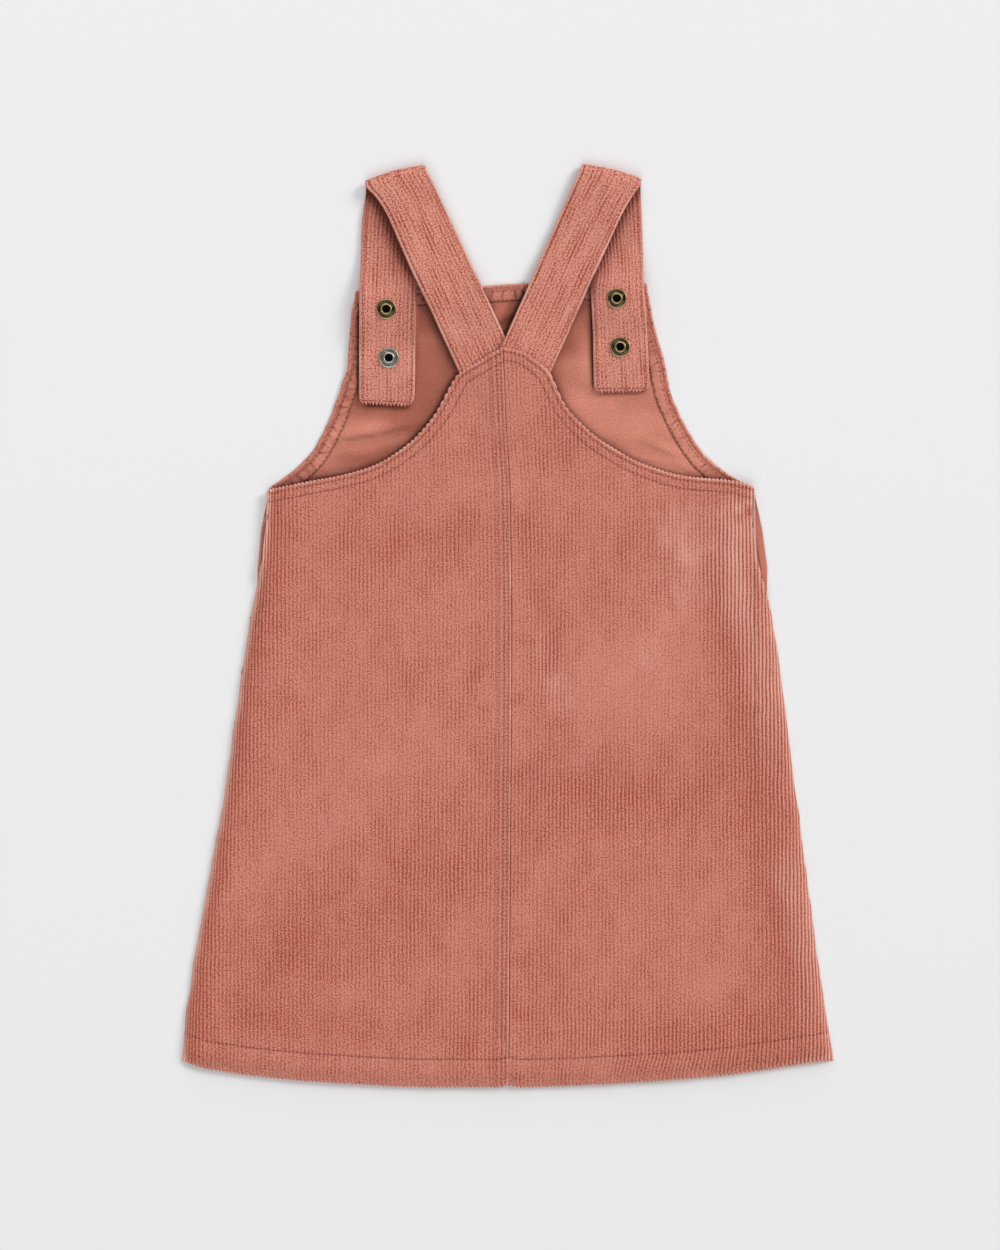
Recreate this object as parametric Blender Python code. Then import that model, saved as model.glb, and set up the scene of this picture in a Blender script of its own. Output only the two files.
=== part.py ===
# Child's corduroy pinafore dress, laid flat on its front so that its back faces up.
# The tables are in millimetres. The origin is on the table, under the middle of the dress:
# +X to the right, +Y from the hem to the shoulder folds, +Z up from the table.

import math

import bmesh
import bpy
from mathutils import Vector

MM = 0.001

# Cloth
WALL = 1.5                # one layer of corduroy
GAP = 0.3                 # kept between pieces that meet or lie on each other
HEM_DEPTH = 17.2          # turned-up hem
HEM_WALL = 3.0            # the hem's two layers
HEM_STEP = 1.2            # length over which the hem's second layer ends
STRAP_WALL = 2.6          # two layers sewn as a tube
FACING_WALL = 1.0
FACING_WIDTH = 8.5
FACING_INSET = 1.6        # from the bib's edge to the facing
FACING_GAP = 0.8          # between the bib and a facing, which bends over the studs
FACING_FOOT = 87.0        # height at which the armhole facings start

# How the back lies on the front
LOFT = 6.0                # the back's upper side over the table
ROLL_REACH = 11.0         # how far in from each side the back starts to roll down
ROLL_FOOT = 0.2           # the rolled edge's height over the table
SLIT_EDGE = 4.8           # upper side of the back's open edge over the front's margin
FRONT_INSET = 2.6         # the front's side edge, inside the roll
SEAM_RIDGE = 0.8          # seam allowances pressed to the left
RIDGE_WIDTH = 9.0
APEX_LOFT = 9.3           # the back's upper side where both straps lie under it

# Snaps
RING_RADIUS = 6.25
SOCKET_RADIUS = 5.25
SHANK_RADIUS = 2.2
HOLE_RADIUS = 2.5
STUD_RADIUS = 7.5
FLANGE_RADIUS = 4.8
STUD_HEIGHT = 2.6
TURN_STEPS = 24

CORDUROY = (0.50, 0.17, 0.115, 1)
SMOOTH_SIDE = (0.44, 0.14, 0.095, 1)
BRASS = (0.36, 0.26, 0.13, 1)

# Outlines of the back: (x, y)
LEFT_SIDE = [(-205.1, -273.4), (-201.0, -235.6), (-178.9, -109.6), (-161.9, 3.8),
             (-154.1, 45.2), (-150.8, 85.3)]
RIGHT_SIDE = [(204.6, -272.7), (198.5, -235.6), (181.4, -109.6), (166.1, 3.8),
              (160.4, 28.5), (156.2, 46.0), (153.6, 62.0), (153.6, 75.0), (154.9, 87.9)]
SEAM = [(0.3, -289.5), (1.5, -121.6), (2.2, -8.8), (1.3, 79.4), (-1.5, 132.3), (-3.2, 174.7)]
HEM = [(-205.1, -273.4), (-187.7, -278.5), (-124.7, -286.0), (-46.0, -289.8),
       (0.3, -289.9), (64.3, -287.9), (127.3, -283.5), (190.3, -274.7), (204.6, -272.7)]
LEFT_TOP = [(-150.8, 85.3), (-129.5, 89.6), (-99.5, 95.6), (-83.5, 100.9), (-64.2, 112.8),
            (-46.2, 132.0), (-34.1, 153.9), (-31.6, 157.6), (-16.6, 166.9), (-3.2, 174.7)]
RIGHT_TOP = [(-3.2, 174.7), (8.8, 172.0), (17.2, 166.6), (25.0, 160.0), (27.2, 156.4),
             (35.6, 138.4), (52.3, 121.0), (65.1, 112.0), (84.4, 101.7), (111.3, 93.8),
             (139.4, 91.0), (154.9, 87.9)]

# Outlines of the front over the side slits and the bib: (x, y)
LEFT_BIB = [(-158.6, 20.0), (-157.6, 31.0), (-156.6, 39.5), (-155.6, 54.6), (-154.6, 64.1),
            (-153.2, 78.5), (-148.6, 87.2), (-142.3, 91.6), (-133.6, 98.0), (-121.8, 110.6),
            (-109.9, 134.3), (-103.7, 152.3), (-100.7, 161.2), (-97.7, 196.8), (-95.1, 210.1)]
RIGHT_BIB = [(164.6, 14.0), (163.9, 30.1), (162.8, 40.9), (161.3, 53.9), (159.5, 64.1),
             (157.3, 75.7), (154.8, 85.6), (147.0, 90.0), (136.6, 96.0), (121.4, 109.6),
             (107.4, 133.2), (101.2, 148.4), (98.5, 163.2), (90.9, 191.3), (86.6, 215.2)]
BIB_TOP = [(-95.1, 210.1), (-16.4, 213.3), (10.1, 214.8), (86.6, 215.1)]
BIB_FOOT = 86.0           # height at which the front's rows stop following the hem

# Open side slits: the height at which each side seam starts, going down
SLIT_FOOT = {"left": 29.0, "right": 16.5}
SLIT_DROP = 4.0           # how far below that the back starts to open
SLIT_RISE = 5.0           # how far above it the back lies open
STEP_OUT = (6.0, 13.0)    # over which the front comes out from under the back, above the foot

# How the panels are divided
PANEL_FOOT = -255.0       # about where the back's plain cloth starts, over the hem
PANEL_HEAD = 85.0
SEAM_BAND = 13.0          # strip beside the centre seam that takes in its ridge
EDGE_BAND = 6.0           # strip along the front's side edges
FRONT_COLUMNS = 26
HEM_INSET = 1.0           # the front's hem is hidden this far over the back's
SETTLE_ROUNDS = 12        # rounds in which a row's height and a column's x agree

# Soft folds in the back: middle x, y, the way each runs in degrees, half its length, half its
# width, and its height
FOLDS = [
    (-66, -70, 62, 130, 26, 0.8),
    (-118, -190, 28, 110, 24, -1.1),
    (-44, 52, 8, 60, 22, -0.9),
    (-40, 108, 70, 40, 16, 0.7),
    (62, -44, 40, 70, 26, 0.8),
    (90, -106, 176, 110, 24, -1.2),
    (30, 116, 60, 40, 16, -0.9),
    (112, 38, 80, 60, 22, -0.9),
    (40, 58, 20, 40, 18, 0.8),
    (120, -190, 80, 70, 24, 0.7),
]

# Snap centres: x, y, and the height of the strap's underside there
SNAPS = {
    "snap_left_upper": (-76.5, 199.0, 8.1),
    "snap_left_lower": (-74.9, 168.6, 4.7),
    "snap_right_upper": (68.3, 205.7, 8.1),
    "snap_right_lower": (70.5, 175.4, 4.7),
}
STUDS = {"bib_stud_left": "snap_left_upper", "bib_stud_right": "snap_right_upper"}
STUD_LIFT = 2.9           # how far a stud under the bib lifts it
LIFT_FLAT = 12.0          # radius that stays level over the stud
LIFT_FADE = 12.0          # width over which the bib comes down again

# Straps, from the free end up the front leg and down the back leg. Each row is a line across
# the strap: left x, y, height and right x, y, height, with heights at the strap's underside.
LEFT_STRAP = {
    "front": [
        (-92.3, 140.5, 2.2, -60.8, 138.7, 2.2),
        (-93.9, 144.5, 2.6, -58.7, 144.5, 2.6),
        (-93.8, 152.0, 3.4, -58.5, 152.0, 3.4),
        (-93.7, 161.0, 4.7, -58.3, 161.0, 4.7),
        (-93.7, 176.0, 4.7, -58.2, 176.0, 4.7),
        (-93.6, 184.0, 6.2, -58.0, 184.0, 6.2),
        (-93.5, 191.5, 8.1, -57.8, 191.5, 8.1),
        (-93.4, 206.5, 8.1, -57.6, 206.5, 8.1),
        (-93.2, 216.0, 5.4, -58.8, 216.0, 5.4),
        (-92.7, 226.0, 2.6, -58.4, 226.0, 2.6),
        (-92.1, 238.0, 0.8, -57.6, 238.5, 0.8),
        (-91.2, 253.0, 0.2, -55.8, 256.0, 0.2),
    ],
    "fold": [(-89.6, 278.2), (-52.1, 289.5)],
    "back": [
        (-83.3, 270.0, 4.6, -46.8, 279.0, 4.4),
        (-76.3, 259.0, 4.8, -43.4, 271.0, 3.6),
        (-68.1, 241.0, 5.0, -36.0, 255.5, 2.4),
        (-61.0, 225.5, 5.9, -28.9, 240.5, 2.0),
        (-54.6, 211.5, 5.0, -22.4, 226.5, 3.4),
        (-48.2, 197.5, 4.5, -15.9, 212.5, 4.1),
        (-41.2, 182.3, 2.8, -8.8, 197.3, 3.6),
        (-34.4, 167.4, 1.9, -1.9, 182.4, 1.9),
        (-30.9, 159.8, 1.9, 1.6, 174.8, 1.9),
        (-27.2, 151.7, 1.9, 5.3, 166.7, 1.9),
    ],
}
RIGHT_STRAP = {
    "front": [
        (56.1, 146.9, 2.2, 87.1, 147.9, 2.2),
        (54.0, 151.5, 2.6, 89.3, 151.5, 2.6),
        (53.8, 159.0, 3.4, 88.9, 159.0, 3.4),
        (53.6, 168.0, 4.7, 88.4, 168.0, 4.7),
        (53.4, 183.0, 4.7, 87.6, 183.0, 4.7),
        (53.0, 190.7, 6.2, 87.1, 190.7, 6.2),
        (52.6, 198.2, 8.1, 86.6, 198.2, 8.1),
        (52.0, 213.2, 8.1, 85.6, 213.2, 8.1),
        (53.6, 221.0, 5.4, 85.2, 221.0, 5.4),
        (53.2, 230.0, 2.6, 85.0, 230.0, 2.6),
        (51.6, 242.5, 0.8, 84.7, 242.0, 0.8),
        (49.4, 259.0, 0.2, 84.3, 256.0, 0.2),
    ],
    "fold": [(46.4, 290.2), (83.9, 279.3)],
    "back": [
        (42.5, 280.5, 4.4, 78.8, 271.0, 4.6),
        (38.2, 271.0, 3.6, 71.8, 259.0, 4.8),
        (31.1, 255.0, 2.4, 63.6, 241.0, 5.0),
        (24.5, 240.0, 2.0, 56.6, 225.8, 5.9),
        (18.0, 225.5, 3.4, 50.2, 211.6, 6.2),
        (11.6, 211.0, 4.1, 43.8, 197.4, 5.0),
        (5.0, 196.5, 4.4, 37.3, 182.7, 3.8),
        (-1.4, 182.1, 4.9, 30.6, 168.0, 4.7),
        (-4.7, 174.8, 4.9, 27.0, 160.0, 4.8),
        (-8.3, 166.7, 4.9, 23.3, 151.8, 4.8),
    ],
}
FOLD_GAP = 1.8            # free space inside the strap's fold
FOLD_BOW = 3.0            # how far the fold bulges at its middle
FOLD_STEPS = 6
STRAP_STATIONS = (0.0, 0.07, 0.36, 0.64, 0.93, 1.0)
EDGE_SHARE = 0.45         # a strap's thickness at its edges, as a share


def step(value, start, end):
    """0 before start, 1 after end, and a smooth rise between them."""
    t = min(max((value - start) / (end - start), 0.0), 1.0)
    return t * t * (3 - 2 * t)


def mix(a, b, t):
    return a + (b - a) * t


def curve(points):
    """A smooth function through (input, value) points that never overshoots them."""
    points = sorted(points)
    ts = [p[0] for p in points]
    vs = [p[1] for p in points]
    slopes = [(vs[i + 1] - vs[i]) / (ts[i + 1] - ts[i]) for i in range(len(ts) - 1)]
    tangents = [slopes[0]]
    for before, after in zip(slopes, slopes[1:]):
        same_way = before * after > 0
        tangents.append(2 * before * after / (before + after) if same_way else 0.0)
    tangents.append(slopes[-1])

    def value(t):
        i = 0
        while i < len(ts) - 2 and t > ts[i + 1]:
            i += 1
        width = ts[i + 1] - ts[i]
        s = (t - ts[i]) / width
        if s < 0:
            return vs[0] + (t - ts[0]) * tangents[0]
        if s > 1:
            return vs[-1] + (t - ts[-1]) * tangents[-1]
        s2, s3 = s * s, s * s * s
        return ((2 * s3 - 3 * s2 + 1) * vs[i] + (s3 - 2 * s2 + s) * width * tangents[i]
                + (3 * s2 - 2 * s3) * vs[i + 1] + (s3 - s2) * width * tangents[i + 1])

    return value


def across(points):
    """x for a given y along an outline."""
    return curve([(y, x) for x, y in points])


hem_height = curve(HEM)
seam_line = across(SEAM)
bib_top = curve(BIB_TOP)
left_bib = across(LEFT_BIB)
right_bib = across(RIGHT_BIB)

BACKS = {
    "left": {"side": across(LEFT_SIDE), "top": curve(LEFT_TOP), "inward": 1},
    "right": {"side": across(RIGHT_SIDE), "top": curve(RIGHT_TOP), "inward": -1},
}


def folds_at(x, y):
    """Height that the soft folds add to the back."""
    total = 0.0
    for fold_x, fold_y, turn, half_length, half_width, height in FOLDS:
        c, s = math.cos(math.radians(turn)), math.sin(math.radians(turn))
        along = (x - fold_x) * c + (y - fold_y) * s
        aside = (y - fold_y) * c - (x - fold_x) * s
        total += height * math.exp(-(along / half_length) ** 2 - (aside / half_width) ** 2)
    return total


def back_height(x, y):
    """Upper side of the back over the table, before its sides roll down."""
    hem = 1 - step(y - hem_height(x), HEM_DEPTH, HEM_DEPTH + 30)
    height = LOFT + folds_at(x, y) * (1 - hem) + 0.5 * hem
    to_seam = seam_line(y) - x
    if to_seam > 0:
        height += SEAM_RIDGE * (1 - step(to_seam, RIDGE_WIDTH - 1, RIDGE_WIDTH + 1))
    rise = step(y, 95, 158) * (1 - step(-x, 2, 34))
    return height + (APEX_LOFT - LOFT) * rise


def bib_lift(x, y):
    """How far the studs under the bib lift it off the table."""
    lift = 0.0
    for snap in STUDS.values():
        snap_x, snap_y, _ = SNAPS[snap]
        away = math.hypot(x - snap_x, y - snap_y)
        lift = max(lift, STUD_LIFT * (1 - step(away, LIFT_FLAT, LIFT_FLAT + LIFT_FADE)))
    return lift


# Mesh makers

def material(name, colour, roughness, metallic):
    made = bpy.data.materials.new(name)
    made.use_nodes = True
    shader = made.node_tree.nodes["Principled BSDF"]
    shader.inputs["Base Color"].default_value = colour
    shader.inputs["Roughness"].default_value = roughness
    shader.inputs["Metallic"].default_value = metallic
    return made


def add_object(name, points, faces, finish, smooth_angle=40):
    """One closed body from millimetre points."""
    mesh = bpy.data.meshes.new(name)
    mesh.from_pydata([tuple(c * MM for c in p) for p in points], [], faces)
    shape = bmesh.new()
    shape.from_mesh(mesh)
    bmesh.ops.recalc_face_normals(shape, faces=shape.faces)
    shape.to_mesh(mesh)
    shape.free()
    mesh.shade_smooth()
    mesh.set_sharp_from_angle(angle=math.radians(smooth_angle))
    made = bpy.data.objects.new(name, mesh)
    bpy.context.scene.collection.objects.link(made)
    colour, roughness, metallic = finish
    mesh.materials.append(material(name + "_finish", colour, roughness, metallic))
    return made


def add_sheet(name, upper, lower, finish):
    """A wall between two grids of points with the same rows and columns."""
    rows, columns = len(upper), len(upper[0])
    count = rows * columns
    points = [p for row in upper for p in row] + [p for row in lower for p in row]
    faces = []
    for r in range(rows - 1):
        for c in range(columns - 1):
            a = r * columns + c
            quad = (a, a + 1, a + columns + 1, a + columns)
            faces.append(quad)
            faces.append(tuple(count + i for i in reversed(quad)))
    rim = list(range(columns))
    rim += [r * columns + columns - 1 for r in range(1, rows)]
    rim += [(rows - 1) * columns + c for c in range(columns - 2, -1, -1)]
    rim += [r * columns for r in range(rows - 2, 0, -1)]
    for a, b in zip(rim, rim[1:] + rim[:1]):
        faces.append((b, a, count + a, count + b))
    return add_object(name, points, faces, finish)


def add_turned(name, profile, centre, finish):
    """A turned piece. Its profile of (radius, height) starts and ends on the axis."""
    x, y = centre
    points = [(x, y, profile[0][1])]
    for radius, height in profile[1:-1]:
        for k in range(TURN_STEPS):
            angle = 2 * math.pi * k / TURN_STEPS
            points.append((x + radius * math.cos(angle), y + radius * math.sin(angle), height))
    points.append((x, y, profile[-1][1]))
    last_ring = 1 + (len(profile) - 3) * TURN_STEPS
    faces = []
    for k in range(TURN_STEPS):
        after = (k + 1) % TURN_STEPS
        faces.append((0, 1 + k, 1 + after))
        faces.append((len(points) - 1, last_ring + after, last_ring + k))
        for ring in range(len(profile) - 3):
            low = 1 + ring * TURN_STEPS
            high = low + TURN_STEPS
            faces.append((low + k, high + k, high + after, low + after))
    return add_object(name, points, faces, finish)


def cut_round_hole(target, centre, radius=HOLE_RADIUS):
    """Takes a round vertical hole out of a cloth piece."""
    reach = 30
    points = []
    for height in (-reach, reach):
        for k in range(TURN_STEPS):
            angle = 2 * math.pi * k / TURN_STEPS
            points.append((centre[0] + radius * math.cos(angle),
                           centre[1] + radius * math.sin(angle), height))
    faces = [tuple(range(TURN_STEPS)), tuple(range(TURN_STEPS, 2 * TURN_STEPS))]
    for k in range(TURN_STEPS):
        after = (k + 1) % TURN_STEPS
        faces.append((k, after, TURN_STEPS + after, TURN_STEPS + k))
    name = target.name + "_cutter_" + str(len(target.modifiers))
    cutter = add_object(name, points, faces, (BRASS, 0.5, 0.0))
    cutter.hide_render = True
    cutter.display_type = "WIRE"
    cut = target.modifiers.new(name, "BOOLEAN")
    cut.operation = "DIFFERENCE"
    cut.solver = "EXACT"
    cut.object = cutter


# Back panels

def back_columns(side):
    """Places across a back panel: the roll at the side, then flat cloth to the seam."""
    roll_steps, flat_steps = 4, 12
    columns = [("roll", k / roll_steps) for k in range(roll_steps)]
    columns += [("flat", k / flat_steps) for k in range(flat_steps)]
    ridge = (RIDGE_WIDTH + 1, RIDGE_WIDTH - 1) if side == "left" else ()
    return columns + [("seam", reach) for reach in (SEAM_BAND, *ridge, 0)]


def back_rows(side):
    """Places up a back panel: the hem band, then shares of the height above it."""
    reach = PANEL_HEAD - PANEL_FOOT
    slit_low = (SLIT_FOOT[side] - SLIT_DROP - PANEL_FOOT) / reach
    slit_high = (SLIT_FOOT[side] + SLIT_RISE - PANEL_FOOT) / reach
    low_steps, high_steps = 12, 5
    rows = [("hem", 0.0), ("hem", HEM_DEPTH)]
    rows += [("share", slit_low * k / low_steps) for k in range(low_steps + 1)]
    rows += [("share", mix(slit_high, 1, k / high_steps)) for k in range(high_steps + 1)]
    return rows


def back_row_height(side, x, row):
    kind, value = row
    if kind == "hem":
        return hem_height(x) + value
    return mix(hem_height(x) + HEM_DEPTH + HEM_STEP, BACKS[side]["top"](x), value)


def back_column_x(side, y, column):
    """x of the upper side, before the roll's wall is counted."""
    inward = BACKS[side]["inward"]
    edge = BACKS[side]["side"](y)
    seam = seam_line(y) - inward * GAP / 2
    kind, value = column
    if kind == "roll":
        return edge + inward * ROLL_REACH * (1 - math.cos(value * math.pi / 2))
    if kind == "seam":
        return seam - inward * value
    return mix(edge + inward * ROLL_REACH, seam - inward * SEAM_BAND, value)


def back_points(side, row, column):
    """The upper and the under point of a back panel at one place."""
    x, y = -100.0 * BACKS[side]["inward"], 0.0
    for _ in range(SETTLE_ROUNDS):
        y = back_row_height(side, x, row)
        x = back_column_x(side, y, column)
    in_hem = row[0] == "hem"
    wall = HEM_WALL if in_hem else WALL
    height = back_height(x, y)
    if column[0] != "roll":
        return (x, y, height), (x, y, height - wall)
    share = math.sin(column[1] * math.pi / 2)
    wall = mix(WALL, wall, column[1])
    inward = BACKS[side]["inward"]
    edge = BACKS[side]["side"](y)
    under_reach = (ROLL_REACH - wall) * (1 - math.cos(column[1] * math.pi / 2))
    rolled = mix(ROLL_FOOT, height, share)
    rolled_under = mix(ROLL_FOOT, height - wall, share)
    under_x = edge + inward * (wall + under_reach)
    laid = mix(SLIT_EDGE, height, share)
    opened = step(y, SLIT_FOOT[side] - SLIT_DROP, SLIT_FOOT[side] + SLIT_RISE)
    upper = (x, y, mix(rolled, laid, opened))
    under = (mix(under_x, x, opened), y, mix(rolled_under, laid - wall, opened))
    return upper, under


def make_back(side):
    upper, under = [], []
    for row in back_rows(side):
        pairs = [back_points(side, row, column) for column in back_columns(side)]
        upper.append([pair[0] for pair in pairs])
        under.append([pair[1] for pair in pairs])
    add_sheet("back_panel_" + side, upper, under, (CORDUROY, 0.9, 0.0))


# Front panel, skirt and bib in one

def front_edge(side, y):
    """x of the front's side edge: inside the roll below the slit, past the back's edge in it."""
    inward = BACKS[side]["inward"]
    inside = BACKS[side]["side"](y) + inward * FRONT_INSET
    outside = left_bib(y) if side == "left" else right_bib(y)
    start, end = (SLIT_FOOT[side] + height for height in STEP_OUT)
    return mix(inside, outside, step(y, start, end))


def front_rows():
    hem_rows = [("hem", height) for height in (HEM_INSET, HEM_DEPTH, HEM_DEPTH + HEM_STEP)]
    skirt = [("skirt", share) for share in (0.2, 0.4, 0.6, 0.76, 0.80, 0.84, 0.88, 0.92)]
    bib_steps = 15
    return hem_rows + skirt + [("bib", k / bib_steps) for k in range(bib_steps + 1)]


def front_row_height(x, row):
    kind, value = row
    if kind == "hem":
        return hem_height(x) + value
    if kind == "skirt":
        return mix(hem_height(x) + HEM_DEPTH + HEM_STEP, BIB_FOOT, value)
    return mix(BIB_FOOT, bib_top(x), value)


def front_points(row, column):
    """The upper and the under point of the front at one place."""
    at_side = column in (0, FRONT_COLUMNS)
    x, y = 0.0, 0.0
    for _ in range(SETTLE_ROUNDS):
        y = front_row_height(x, row)
        left, right = front_edge("left", y), front_edge("right", y)
        if at_side:
            x = left if column == 0 else right
        else:
            share = (column - 1) / (FRONT_COLUMNS - 2)
            x = mix(left + EDGE_BAND, right - EDGE_BAND, share)
    doubled = row[0] == "hem" and row[1] <= HEM_DEPTH and not at_side
    wall = HEM_WALL if doubled else WALL
    lift = bib_lift(x, y)
    return (x, y, lift + wall), (x, y, lift)


def make_front():
    upper, under = [], []
    for row in front_rows():
        pairs = [front_points(row, column) for column in range(FRONT_COLUMNS + 1)]
        upper.append([pair[0] for pair in pairs])
        under.append([pair[1] for pair in pairs])
    front = add_sheet("front_panel", upper, under, (CORDUROY, 0.9, 0.0))
    for snap in STUDS.values():
        cut_round_hole(front, SNAPS[snap][:2])


# Facings inside the bib

def add_band(name, outer, inner):
    """A facing between two rows of (x, y) points, laid just over the bib's inner side."""
    upper, under = [], []
    for line in (outer, inner):
        heights = [bib_lift(x, y) + WALL + FACING_GAP for x, y in line]
        under.append([(x, y, z) for (x, y), z in zip(line, heights)])
        upper.append([(x, y, z + FACING_WALL) for (x, y), z in zip(line, heights)])
    return add_sheet(name, upper, under, (SMOOTH_SIDE, 0.85, 0.0))


def make_facings():
    steps = 22
    widest = 1.75         # a facing never stretches more than this where its edge slants
    corner_gap = GAP + 0.1
    for side, edge in (("left", left_bib), ("right", right_bib)):
        inward = BACKS[side]["inward"]
        corner = BIB_TOP[0] if side == "left" else BIB_TOP[-1]
        head = corner[1] - FACING_INSET - FACING_WIDTH - corner_gap
        outer, inner = [], []
        for k in range(steps + 1):
            y = mix(FACING_FOOT, head, k / steps)
            slope = (edge(y + 1) - edge(y - 1)) / 2
            stretch = min(math.hypot(1, slope), widest)
            x = edge(y)
            outer.append((x + inward * FACING_INSET * stretch, y))
            inner.append((x + inward * (FACING_INSET + FACING_WIDTH) * stretch, y))
        add_band("front_armhole_facing_" + side, outer, inner)
    left, right = BIB_TOP[0][0] + FACING_INSET, BIB_TOP[-1][0] - FACING_INSET
    xs = [mix(left, right, k / steps) for k in range(steps + 1)]
    outer = [(x, bib_top(x) - FACING_INSET) for x in xs]
    inner = [(x, bib_top(x) - FACING_INSET - FACING_WIDTH) for x in xs]
    band = add_band("bib_top_facing", outer, inner)
    for snap in STUDS.values():
        cut_round_hole(band, SNAPS[snap][:2], SOCKET_RADIUS + GAP)


# Straps

def strap_lines(strap):
    """Lines across the strap's middle surface, with how much of the fold's bow each has."""
    half = STRAP_WALL / 2
    lines = []
    for x1, y1, z1, x2, y2, z2 in strap["front"]:
        lines.append((Vector((x1, y1, z1 + half)), Vector((x2, y2, z2 + half)), 0.0))
    ends = [Vector((x, y, 0)) for x, y in strap["fold"]]
    crease = (ends[1] - ends[0]).normalized()
    outward = Vector((-crease.y, crease.x, 0))
    radius = FOLD_GAP / 2 + half
    rise = strap["front"][-1][2] + half + radius
    for k in range(FOLD_STEPS + 1):
        angle = math.pi * (k / FOLD_STEPS - 0.5)
        shift = outward * (radius * math.cos(angle) - radius - half)
        shift.z = rise + radius * math.sin(angle)
        lines.append((ends[0] + shift, ends[1] + shift, 1.0))
    for x1, y1, z1, x2, y2, z2 in strap["back"]:
        lines.append((Vector((x1, y1, z1 + half)), Vector((x2, y2, z2 + half)), 0.0))
    return lines, outward


def make_strap(side, strap):
    lines, outward = strap_lines(strap)
    middle = []
    for start, end, bow in lines:
        row = []
        for share in STRAP_STATIONS:
            row.append(start.lerp(end, share) + outward * bow * FOLD_BOW * 4 * share * (1 - share))
        middle.append(row)
    upper, under = [], []
    for i, row in enumerate(middle):
        before, after = middle[max(i - 1, 0)], middle[min(i + 1, len(middle) - 1)]
        upper_row, under_row = [], []
        for j, point in enumerate(row):
            along = after[j] - before[j]
            width = row[min(j + 1, len(row) - 1)] - row[max(j - 1, 0)]
            normal = width.cross(along).normalized()
            at_edge = STRAP_STATIONS[j] in (0.0, 1.0)
            half = STRAP_WALL / 2 * (EDGE_SHARE if at_edge else 1.0)
            upper_row.append(point + normal * half)
            under_row.append(point - normal * half)
        upper.append(upper_row)
        under.append(under_row)
    made = add_sheet("strap_" + side, upper, under, (CORDUROY, 0.9, 0.0))
    for name, (x, y, _) in SNAPS.items():
        if side in name:
            cut_round_hole(made, (x, y))


# Snaps and studs

def make_snap(name, x, y, strap_under):
    """A ring on the strap, its shank through the cloth and the socket under it."""
    top = strap_under + STRAP_WALL
    socket = strap_under - GAP
    profile = [
        (0.0, socket - 1.0), (1.7, socket - 1.0), (1.7, top + 1.3), (2.3, top + 1.6),
        (3.2, top + 1.6), (3.7, top + 0.9), (5.3, top + 0.9), (5.8, top + 1.3),
        (RING_RADIUS, top + 0.9), (RING_RADIUS, top + 0.2), (SHANK_RADIUS, top + 0.2),
        (SHANK_RADIUS, socket), (SOCKET_RADIUS, socket), (SOCKET_RADIUS, socket - 2.3),
        (2.2, socket - 2.3), (2.2, socket - 1.7), (0.0, socket - 1.7),
    ]
    add_turned(name, profile, (x, y), (BRASS, 0.35, 1.0))


def make_stud(name, x, y, strap_under):
    """The stud under the bib: a cap on the table, a shank and a flange on the inner side."""
    inner_side = STUD_LIFT + WALL
    flange = inner_side + 0.2
    post = strap_under - GAP - 2.3 + 0.3
    profile = [
        (0.0, 0.0), (STUD_RADIUS, 0.0), (STUD_RADIUS, 1.4), (STUD_RADIUS - 1, STUD_HEIGHT),
        (SHANK_RADIUS, STUD_HEIGHT), (SHANK_RADIUS, flange), (FLANGE_RADIUS, flange),
        (FLANGE_RADIUS, flange + 0.5), (1.8, flange + 0.5), (1.8, post), (0.0, post),
    ]
    add_turned(name, profile, (x, y), (BRASS, 0.35, 1.0))


for old in list(bpy.data.objects):
    bpy.data.objects.remove(old)

make_front()
make_back("left")
make_back("right")
make_facings()
make_strap("left", LEFT_STRAP)
make_strap("right", RIGHT_STRAP)
for snap_name, (snap_x, snap_y, snap_under) in SNAPS.items():
    make_snap(snap_name, snap_x, snap_y, snap_under)
for stud_name, snap_name in STUDS.items():
    make_stud(stud_name, *SNAPS[snap_name])
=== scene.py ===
# Looks of a child's corduroy pinafore dress, laid flat with its back up.
# Sizes are in millimetres in the tables and become metres as each mesh is made.

import math

import bpy
import numpy as np
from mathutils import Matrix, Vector


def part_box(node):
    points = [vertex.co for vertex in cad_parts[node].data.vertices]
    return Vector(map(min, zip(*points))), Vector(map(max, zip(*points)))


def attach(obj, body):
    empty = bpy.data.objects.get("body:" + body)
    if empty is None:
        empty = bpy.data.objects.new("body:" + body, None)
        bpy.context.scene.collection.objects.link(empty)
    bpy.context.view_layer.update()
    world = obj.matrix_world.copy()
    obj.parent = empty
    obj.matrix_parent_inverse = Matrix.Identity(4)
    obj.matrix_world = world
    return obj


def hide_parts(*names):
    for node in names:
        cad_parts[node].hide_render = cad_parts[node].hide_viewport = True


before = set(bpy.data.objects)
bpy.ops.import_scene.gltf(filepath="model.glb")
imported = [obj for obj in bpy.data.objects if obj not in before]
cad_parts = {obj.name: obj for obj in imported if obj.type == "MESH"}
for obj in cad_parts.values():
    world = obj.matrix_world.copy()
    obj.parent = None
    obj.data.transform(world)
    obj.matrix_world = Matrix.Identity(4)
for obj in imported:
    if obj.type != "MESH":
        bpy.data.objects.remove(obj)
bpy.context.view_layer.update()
mm = 0.001
pi = math.pi
rng = np.random.default_rng(7)
print("frame loaded:", len(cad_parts), "nodes")


def deselectAll():
    if bpy.context.object and bpy.context.object.mode != "OBJECT":
        bpy.ops.object.mode_set(mode="OBJECT")
    bpy.ops.object.select_all(action="DESELECT")


def step(value, start, end):
    t = np.clip((value - start) / (end - start), 0, 1)
    return t * t * (3 - 2 * t)


def bell(value, middle, halfWidth):
    return np.exp(-((value - middle) / halfWidth) ** 2)


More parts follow.
